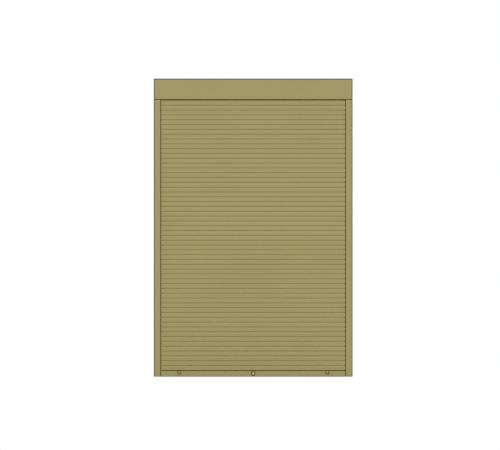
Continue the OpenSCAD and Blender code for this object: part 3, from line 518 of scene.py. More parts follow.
# The slats' coat paints shade, with some dust, into the joints between slats.
SLAT_COAT = PowderCoat("olive_coat_on_slats", OLIVE, 0.46, "painted_aluminium", joint_shade_and_dust=0.7)
CAST_COAT = PowderCoat("olive_coated_casting", OLIVE, 0.52, "painted_casting", peel=420.0)
PLUG_PLASTIC = Moulding("olive_plastic", OLIVE, 0.5, "olive_plastic")
SEAL_RUBBER = Rubber("black_rubber", (0.018, 0.0145, 0.003), 0.75, "rubber")
NYLON = Moulding("black_nylon", (0.03, 0.03, 0.031), 0.5, "black_plastic")
ZINC = Galvanised("galvanised_steel", (0.5, 0.51, 0.52), 0.42, "galvanised_steel")
STEEL = BareMetal("bright_steel", (0.56, 0.56, 0.55), 0.3, "bright_steel")
DARK_STEEL = BareMetal("blackened_steel", (0.075, 0.068, 0.05), 0.5, "bright_steel", tarnish=0.5)
SPRING_STEEL = BareMetal("blued_spring_steel", (0.17, 0.18, 0.21), 0.34, "spring_steel", tarnish=0.4)
BRASS = BareMetal("aged_brass", (0.42, 0.34, 0.15), 0.38, "brass", tarnish=0.6)


def arc(centre: Point, radius: float, start: float, end: float, steps: int) -> Loop:
    """Points along a circle's arc.

    Args:
        centre: The circle's centre.
        radius: Its radius.
        start: First angle in degrees.
        end: Last angle in degrees.
        steps: Number of straight pieces.

    Returns:
        The points, with both ends.
    """
    angles = [math.radians(start + (end - start) * i / steps) for i in range(steps + 1)]
    return [(centre[0] + radius * math.cos(a), centre[1] + radius * math.sin(a)) for a in angles]


def oval(width: float, height: float, centre: Point, steps: int) -> Loop:
    """An upright oval of two half circles and straight sides.

    Args:
        width: Its width.
        height: Its height.
        centre: Its centre.
        steps: Straight pieces in each half circle.

    Returns:
        The closed outline.
    """
    rise = (height - width) / 2
    upper = arc((centre[0], centre[1] + rise), width / 2, 0, 180, steps)
    lower = arc((centre[0], centre[1] - rise), width / 2, 180, 360, steps)
    return upper + lower


def cross(reach: float, half: float, centre: Point) -> Loop:
    """A cross recess's outline.

    Args:
        reach: Length of an arm from the middle.
        half: Half of an arm's width.
        centre: The middle.

    Returns:
        The closed outline.
    """
    arm = [(reach, -half), (reach, half), (half, half)]
    points = []
    for _ in range(4):
        points += [(centre[0] + u, centre[1] + v) for u, v in arm]
        arm = [(-v, u) for u, v in arm]
    return points


def link_object(name: str, data: Any) -> bpy.types.Object:
    """Make an object and link it to the scene.

    Args:
        name: Its name.
        data: Its mesh, lamp or camera.

    Returns:
        The object.
    """
    made = bpy.data.objects.new(name, data)
    bpy.context.scene.collection.objects.link(made)
    return made


def finish_mesh(bm: bmesh.types.BMesh, name: str, sharp: float = 35.0) -> bpy.types.Object:
    """Turn a bmesh into an object with smooth shading between sharp edges.

    Args:
        bm: The mesh, which is freed.
        name: Name of the piece.
        sharp: Angle in degrees above which an edge stays sharp.

    Returns:
        The piece, linked to the scene.
    """
    bmesh.ops.remove_doubles(bm, verts=bm.verts, dist=NEW_MERGE)
    bmesh.ops.recalc_face_normals(bm, faces=bm.faces)
    for face in bm.faces:
        face.smooth = True
    for edge in bm.edges:
        if len(edge.link_faces) == 2:
            edge.smooth = edge.calc_face_angle() < math.radians(sharp)
    mesh = bpy.data.meshes.new(name)
    bm.to_mesh(mesh)
    bm.free()
    return link_object(name, mesh)


def fill_section(
    bm: bmesh.types.BMesh,
    loops: Sequence[Loop],
    axis: Axis,
    level: float,
) -> tuple[list[list[Any]], list[Any]]:
    """Add a flat face with holes to a bmesh.

    Args:
        bm: Mesh that the face is added to.
        loops: Outer outline of the face, then the outlines of its holes.
        axis: Direction that the face looks along.
        level: Where the face is along that axis.

    Returns:
        The corners of each outline, and the triangles between them.
    """
    edges = []
    rings = []
    for loop in loops:
        ring = [bm.verts.new(axis.place(u, v, level)) for u, v in loop]
        rings.append(ring)
        edges += [bm.edges.new((ring[i - 1], ring[i])) for i in range(len(ring))]
    fill = bmesh.ops.triangle_fill(bm, use_beauty=True, edges=edges)
    return rings, [item for item in fill["geom"] if isinstance(item, bmesh.types.BMFace)]


def add_recessed_face(
    bm: bmesh.types.BMesh,
    outline: Loop,
    hole: Loop,
    axis: Axis,
    level: float,
    depth: float,
) -> None:
    """Add a flat face with a blind recess in it.

    Args:
        bm: Mesh that the face is added to.
        outline: Outline of the face.
        hole: Outline of the recess.
        axis: Direction that the face looks along.
        level: Where the face is along that axis.
        depth: How far the recess's floor is from the face, with its sign.
    """
    mouth = fill_section(bm, (outline, hole), axis, level)[0][1]
    step = axis.place(0.0, 0.0, depth)
    floor = [bm.verts.new(vert.co + step) for vert in mouth]
    join_rings(bm, (mouth, floor))
    bm.faces.new(floor)


def add_prism(
    bm: bmesh.types.BMesh,
    outline: Loop,
    holes: Sequence[Loop],
    axis: Axis,
    low: float,
    high: float,
) -> None:
    """Add an extruded section to a bmesh.

    Args:
        bm: Mesh that the section is added to.
        outline: Outer outline of the section.
        holes: Outlines of its holes.
        axis: Direction of the extrusion.
        low: Where the extrusion starts.
        high: Where it ends.
    """
    rings, faces = fill_section(bm, (outline, *holes), axis, low)
    step = axis.place(0.0, 0.0, high - low)
    twin = {vert: bm.verts.new(vert.co + step) for ring in rings for vert in ring}
    for face in faces:
        bm.faces.new([twin[vert] for vert in reversed(face.verts)])
    for ring in rings:
        for i, vert in enumerate(ring):
            before = ring[i - 1]
            bm.faces.new((before, vert, twin[vert], twin[before]))


def add_lathe(
    bm: bmesh.types.BMesh,
    profile: Loop,
    axis: Axis,
    centre: Vector,
    turn: float,
    steps: int,
) -> None:
    """Add a revolved profile to a bmesh.

    Args:
        bm: Mesh that the profile is added to.
        profile: Line as radius and distance along the axis.
        axis: The axis of the revolution.
        centre: Where the axis starts.
        turn: 1 to run along the axis, or -1 against it.
        steps: Straight pieces in a full turn.
    """
    rings = []
    for radius, along in profile:
        circle = arc((0.0, 0.0), radius, 0, 360, steps)[:-1] if radius > 0.0 else [(0.0, 0.0)]
        rings.append([bm.verts.new(centre + axis.place(u, v, turn * along)) for u, v in circle])
    for lower, upper in zip(rings, rings[1:]):
        for i in range(steps):
            corners = [lower[i % len(lower)], lower[(i + 1) % len(lower)]]
            corners += [upper[(i + 1) % len(upper)], upper[i % len(upper)]]
            unique = list(dict.fromkeys(corners))
            if len(unique) > 2:
                bm.faces.new(unique)


def add_oval_rings(bm: bmesh.types.BMesh, section: Loop, node: str, steps: int) -> list[list[Any]]:
    """Add the ovals that follow a section round an upright oval CAD plate.

    Args:
        bm: Mesh that the ovals are added to.
        section: Inset from the plate's rim and height over its back, point by point.
        node: Name of the plate's node.
        steps: Straight pieces in each half circle.

    Returns:
        The corners of each oval.
    """
    low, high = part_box(node)
    centre = Axis.Y.across((low + high) / 2)
    rings = []
    for inset, out in section:
        loop = oval(high.x - low.x - 2 * inset, high.z - low.z - 2 * inset, centre, steps)
        rings.append([bm.verts.new(Axis.Y.place(u, v, high.y - out)) for u, v in loop])
    return rings


def join_rings(bm: bmesh.types.BMesh, rings: Sequence[list[Any]]) -> None:
    """Add the faces between rings that have the same number of corners.

    Args:
        bm: Mesh that the faces are added to.
        rings: Corners of each ring, in order.
    """
    for first, second in zip(rings, rings[1:]):
        for i in range(len(first)):
            bm.faces.new((first[i - 1], first[i], second[i], second[i - 1]))


def rounded(corners: Sequence[Triple], steps: int = 5) -> Loop:
    """An open line through corners, each with its own fillet.

    Args:
        corners: Corner points with the radius of their fillet.
        steps: Straight pieces in a fillet.

    Returns:
        The line's points.
    """
    points = []
    for i, (u, v, radius) in enumerate(corners):
        if radius == 0.0 or i in (0, len(corners) - 1):
            points.append((u, v))
            continue
        here = Vector((u, v))
        before = (Vector(corners[i - 1][:2]) - here).normalized()
        after = (Vector(corners[i + 1][:2]) - here).normalized()
        for step in range(steps + 1):
            share = step / steps
            near = here + before * radius * (1 - share) ** 2 + after * radius * share**2
            points.append((near.x, near.y))
    return points


def island_boxes(node: str) -> list[Box]:
    """Boxes of the separate solids in a CAD node.

    Args:
        node: Name of the node.

    Returns:
        Lowest and highest corner of each solid.
    """
    bm = bmesh.new()
    bm.from_mesh(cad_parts[node].data)
    bmesh.ops.remove_doubles(bm, verts=bm.verts, dist=CAD_MERGE)
    left = set(bm.verts)
    boxes = []
    while left:
        queue = [left.pop()]
        found = list(queue)
        while queue:
            vert = queue.pop()
            for edge in vert.link_edges:
                other = edge.other_vert(vert)
                if other in left:
                    left.remove(other)
                    queue.append(other)
                    found.append(other)
        low = Vector([min(vert.co[axis.value] for vert in found) for axis in Axis])
        high = Vector([max(vert.co[axis.value] for vert in found) for axis in Axis])
        boxes.append((low, high))
    bm.free()
    return boxes


def dress(finish: Finish, **edges: float) -> None:
    """Give CAD nodes a finish and their broken edges.

    Args:
        finish: The finish of all of them.
        edges: Width of the broken edges in millimetres by the node's name, or 0 for none.
    """
    for node, edge in edges.items():
        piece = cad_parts[node]
        piece.data.materials.clear()
        piece.data.materials.append(finish.material())
        if edge > 0.0:
            soften(piece, edge * MM)
        log.info("dressed %s in %s", node, finish.name)


def soften(piece: bpy.types.Object, width: float) -> None:
    """Break a CAD piece's sharp edges.

    Args:
        piece: The piece, whose own mesh stays as it is.
        width: Width of the broken edge in metres.
    """
    weld = piece.modifiers.new("weld", "WELD")
    weld.merge_threshold = WELD
    flat = piece.modifiers.new("flat", "DECIMATE")
    flat.decimate_type = "DISSOLVE"
    flat.angle_limit = FLAT_ANGLE
    bevel = piece.modifiers.new("edges", "BEVEL")
    bevel.width = width
    bevel.segments = 2
    bevel.limit_method = "ANGLE"
    bevel.angle_limit = BROKEN_EDGE_ANGLE
    bevel.harden_normals = True
    bevel.use_clamp_overlap = True


def place_piece(piece: bpy.types.Object, finish: Finish, body: str, *nodes: str) -> None:
    """Finish a new piece and let it ride in place of CAD nodes.

    Args:
        piece: The new piece.
        finish: Its finish.
        body: Body that it moves with.
        nodes: CAD nodes that it stands for, if any.
    """
    piece.data.materials.append(finish.material())
    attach(piece, body)
    if nodes:
        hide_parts(*nodes)
    log.info("made %s on %s", piece.name, body)


@dataclass
class Slat:
    """Section of one interlocking slat, in thickness from its middle and height from its lower edge."""

    thickness: float = 8.0 * MM
    pitch: float = 38.8 * MM
    gap: float = 0.8 * MM
    bow: float = 1.0 * MM
    wall: float = 1.0 * MM
    bulb: float = 1.7 * MM
    pocket: float = 2.5 * MM
    mouth: float = 2.0 * MM
    neck: float = 0.9 * MM
    roll: float = 2.0 * MM
    roll_height: float = 3.0 * MM
    back_edge: float = 0.4 * MM
    sill: float = 1.6 * MM
    bulb_drop: float = 0.5 * MM

    def __post_init__(self) -> None:
        """Work out the section's own measures."""
        self.face = self.pitch - self.gap
        self.back = self.thickness / 2
        self.bow_radius = ((self.face / 2) ** 2 + self.bow**2) / (2 * self.bow)
        self.hinge = self.back - self.wall - self.pocket
        self.pocket_height = self.pocket + self.sill
        self.hang = self.pocket_height - self.bulb_drop

    def front(self, height: float, inset: float = 0.0) -> float:
        """Find the bowed front.

        Args:
            height: Height over the slat's lower edge.
            inset: How far the front is moved in.

        Returns:
            Where the front is in thickness.
        """
        off = height - self.face / 2
        radius = self.bow_radius - inset
        return self.bow_radius - self.back - math.sqrt(radius**2 - off**2)

    def outline(self) -> Loop:
        """Draw the whole section.

        Returns:
            Outer outline, with the bulb above and the open pocket below.
        """
        rows = 18
        first, last = self.roll_height, self.face - self.roll_height
        heights = [first + (last - first) * i / rows for i in range(rows + 1)]
        face = [(self.front(v), v) for v in heights]
        lower = self.rolled_edge(face[0], 0.0)
        upper = self.rolled_edge(face[-1], self.face)[::-1]
        return lower + face + upper + self.bulb_line() + self.back_line() + self.pocket_line()

    def rolled_edge(self, at: Point, height: float) -> Loop:
        """Round the edge between a level end and the bowed front.

        Args:
            at: Point on the front where the rounding ends.
            height: Height of the level end.

        Returns:
            Points from the level end towards the front, without the last.
        """
        steps = 5
        points = []
        for i in range(steps):
            a = math.pi / 2 * i / steps
            u = at[0] + self.roll * (1 - math.sin(a))
            v = height + (at[1] - height) * (1 - math.cos(a))
            points.append((u, v))
        return points

    def bulb_line(self) -> Loop:
        """Draw the hinge on the slat's top.

        Returns:
            Neck and bulb, from front to back.
        """
        steps = 18
        middle = (self.hinge, self.pitch + self.hang)
        side = math.degrees(math.asin(self.neck / 2 / self.bulb))
        foot = [(self.hinge - self.neck / 2, self.face)]
        ball = arc(middle, self.bulb, 270 - side, side - 90, steps)
        return foot + ball + [(self.hinge + self.neck / 2, self.face)]

    def back_line(self) -> Loop:
        """Draw the flat back.

        Returns:
            The back with its small round edges, from top to bottom.
        """
        steps = 3
        edge = self.back_edge
        upper = arc((self.back - edge, self.face - edge), edge, 90, 0, steps)
        lower = arc((self.back - edge, edge), edge, 0, -90, steps)
        return upper + lower

    def pocket_line(self) -> Loop:
        """Draw the pocket that hooks over the next slat's bulb.

        Returns:
            The pocket, from back to front.
        """
        steps = 20
        middle = (self.hinge, self.pocket_height)
        side = math.degrees(math.asin(self.mouth / 2 / self.pocket))
        hook = arc(middle, self.pocket, side - 90, 270 - side, steps)
        mouth = self.mouth / 2
        return [(self.hinge + mouth, 0.0)] + hook + [(self.hinge - mouth, 0.0)]

    def chamber(self) -> Loop:
        """Draw the slat's hollow.

        Returns:
            The closed outline.
        """
        rows = 14
        low = self.pocket_height + self.pocket + self.wall
        high = self.face - self.wall
        heights = [low + (high - low) * i / rows for i in range(rows + 1)]
        front = [(self.front(v, self.wall), v) for v in heights]
        back = self.back - self.wall
        return front + [(back, high), (back, low)]


@dataclass
class Curtain:
    """The slats, three to a body."""

    slats_each: int = 3
    sharp: float = 32.0

    def __post_init__(self) -> None:
        """Find the slats' nodes and the pitch that they are hung at."""
        self.nodes = sorted(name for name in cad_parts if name.startswith("slats_"))
        first, second = (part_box(name)[0].z for name in self.nodes[:2])
        self.slat = Slat(pitch=(second - first) / self.slats_each)

    def build(self) -> None:
        """Make each body's slats as smooth hollow extrusions."""
        for node in self.nodes:
            low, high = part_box(node)
            middle = high.y - self.slat.back
            bm = bmesh.new()
            for i in range(self.slats_each):
                shift = low.z + i * self.slat.pitch
                outline = [(middle + u, shift + v) for u, v in self.slat.outline()]
                chamber = [(middle + u, shift + v) for u, v in self.slat.chamber()]
                add_prism(bm, outline, [chamber], Axis.X, low.x, high.x)
            piece = finish_mesh(bm, f"curtain_{node}", self.sharp)
            place_piece(piece, SLAT_COAT, node, node)


@dataclass
class Screw:
    """A screw with a cross recess, whose head is countersunk or a pan."""

    head_radius: float = 3.5 * MM
    shank_radius: float = 1.6 * MM
    sunk_edge: float = 0.25 * MM
    pan_height: float = 2.2 * MM
    pan_edge: float = 0.8 * MM
    pan_round: float = 0.7 * MM
    point: float = 1.2 * MM
    recess: float = 1.4 * MM
    arm_reach: float = 0.62
    arm_half: float = 0.13
    steps: int = 32

    def head(self, flush: bool) -> Loop:
        """Draw the head.

        Args:
            flush: True for a countersunk head, False for a pan head.

        Returns:
            The head's profile, as radius and depth.
        """
        full, shank = self.head_radius, self.shank_radius
        if flush:
            return [(full, 0.0), (full, self.sunk_edge), (shank, full - shank)]
        rim = (full - self.pan_round, 0.0)
        return [rim, (full, self.pan_edge), (full, self.pan_height), (shank, self.pan_height)]

    def add(
        self,
        bm: bmesh.types.BMesh,
        box: Box,
        axis: Axis,
        turn: float,
        flush: bool,
    ) -> None:
        """Add the screw that fills a CAD screw's box.

        Args:
            bm: Mesh that the screw is added to.
            box: Lowest and highest corner of the CAD screw.
            axis: Direction of the screw.
            turn: 1 if the head is at the high end, or -1 at the low end.
            flush: True for a countersunk head, False for a pan head.
        """
        low, high = box
        top = (high if turn > 0 else low)[axis.value]
        length = (high - low)[axis.value]
        middle = axis.across((low + high) / 2)
        head = self.head(flush)
        shank = [(self.shank_radius, length - self.point), (0.0, length)]
        add_lathe(bm, head + shank, axis, axis.place(*middle, top), -turn, self.steps)
        outline = arc(middle, head[0][0], 0, 360, self.steps)[:-1]
        hole = cross(self.head_radius * self.arm_reach, self.head_radius * self.arm_half, middle)
        add_recessed_face(bm, outline, hole, axis, top, -turn * self.recess)


@dataclass
class Casing:
    """Sheets, end caps, screws and gasket of the casing."""

    screw: Screw = field(default_factory=Screw)
    flush_within: float = 1.0 * MM

    def build(self) -> None:
        """Make the casing's screws, flush on its panels and with pan heads on the bearing holders."""
        low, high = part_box("casing_rear")
        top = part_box("casing_hood")[1].z
        bm = bmesh.new()
        for box in island_boxes("casing_screws"):
            start, end = box
            if end.z > top - self.flush_within:
                self.screw.add(bm, box, Axis.Z, 1, True)
            elif end.y > high.y - self.flush_within:
                self.screw.add(bm, box, Axis.Y, 1, True)
            elif start.z < low.z + self.flush_within:
                self.screw.add(bm, box, Axis.Z, -1, True)
            else:
                self.screw.add(bm, box, Axis.X, -1 if start.x > 0 else 1, False)
        place_piece(finish_mesh(bm, "casing_screw_set"), STEEL, "frame", "casing_screws")

    def dress(self) -> None:
        """Finish the sheets, caps and gasket."""
        dress(COAT, casing_hood=0.35, casing_rear=0.35, inspection_cover=0.35)
        dress(CAST_COAT, end_cap_left=0.6, end_cap_right=0.6)
        dress(SEAL_RUBBER, casing_gasket=0.4)


@dataclass
class Guides:
    """Side guides with their seals, inlets, feet and keepers."""

    def dress(self) -> None:
        """Finish the guides and what is in them."""
        dress(COAT, guide_left=0.25, guide_right=0.25, guide_flanges=0)
        dress(SEAL_RUBBER, guide_seals=0)
        dress(NYLON, curtain_inlets=0.5, guide_feet=0.4)
        dress(ZINC, lock_keepers=0.4)


@dataclass
class EdgeSeal:
    """Thin rubber strips on the shutter's outer front edges, which close the joint to the wall."""

    width: float = 5.6 * MM
    top_height: float = 6.7 * MM
    proud: float = 0.6 * MM
    sink: float = 1.2 * MM
    fold: float = 6.0 * MM
    butt_gap: float = 0.1 * MM
    inset: float = 0.15 * MM

    def build(self) -> None:
        """Make the strip over the casing's fold and one down each side."""
        bm = bmesh.new()
        left, right = CAD_LOW.x + self.inset, CAD_HIGH.x - self.inset
        add_prism(bm, self.top_section(), [], Axis.X, left, right)
        under = CAD_HIGH.z - self.top_height - self.butt_gap
        for outer in (left, right):
            add_prism(bm, self.side_section(outer), [], Axis.Z, CAD_LOW.z, under)
        place_piece(finish_mesh(bm, "edge_seal_strips"), SEAL_RUBBER, "frame")

    def top_section(self) -> Loop:
        """Follow the casing's front from its face round the fold.

        Returns:
            The closed outline.
        """
        steps = 8
        middle = (CASING_FRONT + self.fold, CAD_HIGH.z - self.fold)
        end = 180 - math.degrees(math.asin(self.fold / (self.fold + self.proud)))
        foot = CAD_HIGH.z - self.top_height
        outside = arc(middle, self.fold + self.proud, 180, end, steps)
        inside = arc(middle, self.fold - self.sink, end, 180, steps)
        front, back = CASING_FRONT - self.proud, CASING_FRONT + self.sink
        return [(front, foot)] + outside + inside + [(back, foot)]

    def side_section(self, outer: float) -> Loop:
        """Section of an upright strip beside the shutter's side.

        Args:
            outer: Where the strip ends.

        Returns:
            The closed outline, with round front corners.
        """
        inner = outer - math.copysign(self.width, outer)
        front, back = CASING_FRONT - self.proud, CASING_FRONT + self.sink
        round_off = self.proud / 2
        return rounded([
            (inner, back, 0.0),
            (inner, front, round_off),
            (outer, front, round_off),
            (outer, back, 0.0),
        ])


@dataclass
class StopPlug:
    """A turned bumper with a dished nose and a screw's hole through it."""

    hole: float = 1.7 * MM
    seat: float = 6.0 * MM
    foot_edge: Point = (0.4 * MM, 0.6 * MM)
    foot_fillet: float = 0.3 * MM
    shoulder: float = 4.0 * MM
    shoulder_fillet: float = 2.0 * MM
    taper: float = 1.5 * MM
    nose_edge: Point = (3.5 * MM, 2.0 * MM)
    nose_fillet: float = 1.2 * MM
    bore: float = PLUG_BORE
    dish: float = 1.5 * MM
    dish_fillet: float = 0.7 * MM
    steps: int = 72

    def add(self, bm: bmesh.types.BMesh, box: Box) -> None:
        """Add the plug that fills a CAD plug's box.

        Args:
            bm: Mesh that the plug is added to.
            box: Lowest and highest corner of the CAD plug.
        """
        low, high = box
        radius = (high.x - low.x) / 2
        length = high.y - low.y
        corners = [
            (self.hole, 0.0, 0.0),
            (radius - self.foot_edge[0], 0.0, 0.0),
            (radius, self.foot_edge[1], self.foot_fillet),
            (radius, self.shoulder, self.shoulder_fillet),
            (radius - self.taper, length - self.nose_edge[1], self.nose_fillet),
            (radius - self.nose_edge[0], length, self.nose_fillet),
            (self.bore + self.dish, length, self.dish_fillet),
            (self.bore, length - self.dish, self.dish_fillet),
            (self.bore, self.seat, 0.0),
            (self.hole, self.seat, 0.0),
            (self.hole, 0.0, 0.0),
        ]
        middle = Axis.Y.across((low + high) / 2)
        add_lathe(bm, rounded(corners), Axis.Y, Axis.Y.place(*middle, high.y), -1, self.steps)


@dataclass
class ScrewCap:
    """A plastic cap that closes the screw's bore in a stop plug's nose."""

    bore: float = PLUG_BORE
    grip: float = 0.3 * MM
    below: float = 1.2 * MM
    dome: float = 0.3 * MM
    dome_share: float = 0.6
    height: float = 3.0 * MM
    steps: int = 40

    def add(self, bm: bmesh.types.BMesh, box: Box) -> None:
        """Add the cap of one plug.

        Args:
            bm: Mesh that the cap is added to.
            box: Lowest and highest corner of the CAD plug.
        """
        low, high = box
        radius = self.bore + self.grip
        top = high.y - low.y - self.below
        profile = [
            (0.0, top - self.height),
            (radius, top - self.height),
            (radius, top - self.dome),
            (radius * self.dome_share, top - self.dome * self.dome_share**2),
            (0.0, top),
        ]
        middle = Axis.Y.across((low + high) / 2)
        add_lathe(bm, profile, Axis.Y, Axis.Y.place(*middle, high.y), -1, self.steps)


@dataclass
class Escutcheon:
    """The lock's oval plate, with a stepped and rounded rim and a round hole."""

    step: float = 1.6 * MM
    outer_fillet: float = 0.6 * MM
    inner_fillet: float = 0.25 * MM
    top_fillet: float = 0.7 * MM
    top_width: float = 2.0 * MM
    play: float = 0.4 * MM
    sharp: float = 30.0

    def build(self) -> None:
        """Make the plate in place of the CAD plate."""
        low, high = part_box("lock_escutcheon")
        full = high.y - low.y
        rise = full * PLATE_STEP
        section = rounded([
            (0.0, 0.0, 0.0),
            (0.0, rise, self.outer_fillet),
            (self.step, rise, self.inner_fillet),
            (self.step, full, self.top_fillet),
            (self.step + self.top_width, full, 0.0),
        ])
        bm = bmesh.new()
        rings = add_oval_rings(bm, section, "lock_escutcheon", PLATE_ARC_STEPS)
        barrel_low, barrel_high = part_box("lock_barrel")
        radius = (barrel_high.x - barrel_low.x + self.play) / 2
        middle = Axis.Y.across((low + high) / 2)
        rays = [Vector(Axis.Y.across(vert.co)) - Vector(middle) for vert in rings[0]]
        circle = [Vector(middle) + ray.normalized() * radius for ray in rays]
        for level in (low.y, high.y):
            rings.append([bm.verts.new(Axis.Y.place(u, v, level)) for u, v in circle])
        join_rings(bm, rings + rings[:1])
        piece = finish_mesh(bm, "oval_escutcheon", self.sharp)
        place_piece(piece, CAST_COAT, "end_bar", "lock_escutcheon")


@dataclass
class RubberEdging:
    """Rubber edging that wraps the rim of the lock's oval plate."""

    outside: float = 0.5 * MM
    reach: float = 1.4 * MM
    proud: float = 0.5 * MM
    foot: float = 0.05 * MM
    fillet: float = 0.3 * MM

    def build(self) -> None:
        """Make the edging round the CAD plate's rim."""
        low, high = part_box("lock_escutcheon")
        top = (high.y - low.y) * PLATE_STEP + self.proud
        section = rounded([
            (self.reach, self.foot, 0.0),
            (-self.outside, self.foot, 0.0),
            (-self.outside, top, self.fillet),
            (self.reach, top, self.fillet),
            (self.reach, self.foot, 0.0),
        ])
        bm = bmesh.new()
        join_rings(bm, add_oval_rings(bm, section, "lock_escutcheon", PLATE_ARC_STEPS))
        place_piece(finish_mesh(bm, "escutcheon_edging"), SEAL_RUBBER, "end_bar")


@dataclass
class EndBar:
    """End slat with its seal, sliders, stop plugs, lock and screws."""

    screw: Screw = field(default_factory=Screw)
    plug: StopPlug = field(default_factory=StopPlug)
    cap: ScrewCap = field(default_factory=ScrewCap)
    escutcheon: Escutcheon = field(default_factory=Escutcheon)
    edging: RubberEdging = field(default_factory=RubberEdging)

    def build(self) -> None:
        """Make the stop plugs with their caps, the escutcheon with its edging, and the screws."""
        plugs, caps, screws = bmesh.new(), bmesh.new(), bmesh.new()
        for box in island_boxes("stop_plugs"):
            self.plug.add(plugs, box)
            self.cap.add(caps, box)
        place_piece(finish_mesh(plugs, "stop_plug_pair"), PLUG_PLASTIC, "end_bar", "stop_plugs")
        self.escutcheon.build()
        place_piece(finish_mesh(caps, "plug_screw_caps"), PLUG_PLASTIC, "end_bar")
        self.edging.build()
        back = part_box("lock_cover")[0].y
        for box in island_boxes("end_slat_screws"):
            self.screw.add(screws, box, Axis.Y, 1 if box[1].y > back else -1, False)
        piece = finish_mesh(screws, "end_slat_screw_set")
        place_piece(piece, DARK_STEEL, "end_bar", "end_slat_screws")

    def dress(self) -> None:
        """Finish the end slat and its fittings."""
        dress(COAT, end_slat=0.25, lock_cover=0.5)
        dress(CAST_COAT, lock_barrel=0.4)
        dress(BRASS, lock_plug=0.15)
        dress(SEAL_RUBBER, bottom_seal=0, trim_gaskets=0.3)
        dress(NYLON, end_sliders=0.3, bolt_guides=0)
        dress(STEEL, lock_cam=0)
        dress(ZINC, lock_bolt_left=0.2, lock_bolt_right=0.2)


@dataclass
class ShaftUnit:
    """Octagonal shaft with its bearings, spring and hanger straps."""

    wire: float = 2.5 * MM
    curls: int = 28
    turn_steps: int = 28
    sides: int = 10
    sharp: float = 50.0

    def build(self) -> None:
        """Wind the torsion spring as one smooth wire."""
        low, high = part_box("torsion_spring")
        middle = (low + high) / 2
        radius = (high.z - low.z) / 2 - self.wire
        start = low.x + self.wire
        pitch = (high.x - low.x - 2 * self.wire) / self.curls
        along = Axis.X.place(0.0, 0.0, 1.0)
        circle = arc((0.0, 0.0), self.wire, 0, 360, self.sides)[:-1]
        bm = bmesh.new()
        rings = []
        for i in range(self.curls * self.turn_steps + 1):
            turn = 2 * math.pi * i / self.turn_steps
            out = Vector((0.0, math.cos(turn), math.sin(turn)))
            centre = Vector((start + pitch * i / self.turn_steps, middle.y, middle.z)) + out * radius
            rings.append([bm.verts.new(centre + out * u + along * v) for u, v in circle])
        join_rings(bm, rings)
        bm.faces.new(rings[0])
        bm.faces.new(rings[-1])
        piece = finish_mesh(bm, "wound_spring", self.sharp)
        place_piece(piece, SPRING_STEEL, "shaft", "torsion_spring")

    def dress(self) -> None:
        """Finish the shaft and its bearings."""
        dress(ZINC, octagonal_shaft=0, axle_bracket=0.4, bearing_holder=0.4)
        dress(STEEL, bearing_outer=0, bearing_inner=0, bearing_balls=0)
        dress(STEEL, spring_axle=0, spring_anchor=0, spring_carrier=0)
        dress(NYLON, shaft_plug_left=0.5, shaft_plug_right=0.5)
        dress(SPRING_STEEL, hanger_straps=0)


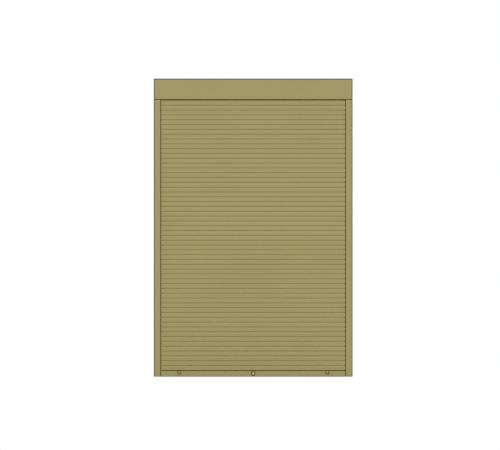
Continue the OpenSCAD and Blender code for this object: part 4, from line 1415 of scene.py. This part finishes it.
@dataclass
class Studio:
    """Camera, lights, floor and background."""

    image_width: int = 500
    metres_per_pixel: float = 8.052 * MM
    view_x: float = -0.0256
    view_z: float = 1.2213
    view_distance: float = 20.0
    view_reach: float = 300.0
    floor_size: float = 160.0
    floor_drop: float = 0.5 * MM
    floor_colour: Colour = (0.86, 0.86, 0.85)
    floor_roughness: float = 0.9
    floor_shine: float = 0.1
    sky: float = 0.735
    key: float = 0.95
    key_direction: Triple = (0.25, 1.0, -0.45)
    back_share: float = 0.4
    back_direction: Triple = (-0.5, -1.0, -0.6)
    lamp_width: float = 50.0

    def build(self) -> None:
        """Set up the whole studio."""
        bpy.context.scene.view_settings.view_transform = "Standard"
        self.build_camera()
        self.build_world()
        self.build_lights()
        self.build_floor()

    def build_camera(self) -> None:
        """Add the camera square to the front, without perspective."""
        data = bpy.data.cameras.new("camera")
        data.type = "ORTHO"
        data.ortho_scale = self.image_width * self.metres_per_pixel
        data.clip_end = self.view_reach
        camera = link_object("camera", data)
        camera.location = (self.view_x, CAD_LOW.y - self.view_distance, self.view_z)
        camera.rotation_euler = (math.pi / 2, 0.0, 0.0)
        bpy.context.scene.camera = camera

    def build_world(self) -> None:
        """Add an even sky that the camera and mirrors see as white."""
        world = bpy.data.worlds.new("studio_sky")
        world.use_nodes = True
        graph = Graph(world.node_tree)
        white: Colour = (1.0, 1.0, 1.0)
        rays = [
            graph.node("ShaderNodeLightPath", output=f"Is {kind} Ray")
            for kind in ("Camera", "Glossy", "Transmission")
        ]
        seen = rays[0].largest(rays[1]).largest(rays[2])
        light = graph.node("ShaderNodeBackground", {}, {"Color": white, "Strength": self.sky})
        shown = graph.node("ShaderNodeBackground", {}, {"Color": white, "Strength": 1.0})
        mixed = graph.node("ShaderNodeMixShader", {}, {0: seen, 1: light, 2: shown})
        graph.node("ShaderNodeOutputWorld", {}, {"Surface": mixed})
        bpy.context.scene.world = world

    def build_lights(self) -> None:
        """Add a broad soft key from the front and a weaker one from behind."""
        for name, direction, strength in (
            ("key_light", self.key_direction, self.key),
            ("back_light", self.back_direction, self.key * self.back_share),
        ):
            data = bpy.data.lights.new(name, "SUN")
            data.energy = strength
            data.angle = math.radians(self.lamp_width)
            lamp = link_object(name, data)
            lamp.rotation_mode = "QUATERNION"
            lamp.rotation_quaternion = Vector(direction).to_track_quat("-Z", "Y")

    def build_floor(self) -> None:
        """Add a plain pale floor under the guides' feet."""
        paint = bpy.data.materials.new("pale_floor")
        paint.use_nodes = True
        Graph(paint.node_tree).surface(
            Base_Color=self.floor_colour,
            Roughness=self.floor_roughness,
            Specular_IOR_Level=self.floor_shine,
        )
        half = self.floor_size / 2
        level = CAD_LOW.z - self.floor_drop
        square = [(-half, -half), (half, -half), (half, half), (-half, half)]
        mesh = bpy.data.meshes.new("floor")
        mesh.from_pydata([(x, y, level) for x, y in square], [], [(0, 1, 2, 3)])
        mesh.materials.append(paint)
        floor = link_object("floor", mesh)


def main() -> None:
    """Build and dress the sub-assemblies in order."""
    logging.basicConfig(level=logging.INFO, format="%(name)s: %(message)s")
    Studio().build()
    Curtain().build()
    for part in (Casing(), EndBar(), ShaftUnit()):
        part.build()
        part.dress()
    Guides().dress()
    EdgeSeal().build()


if __name__ == "__main__":
    main()
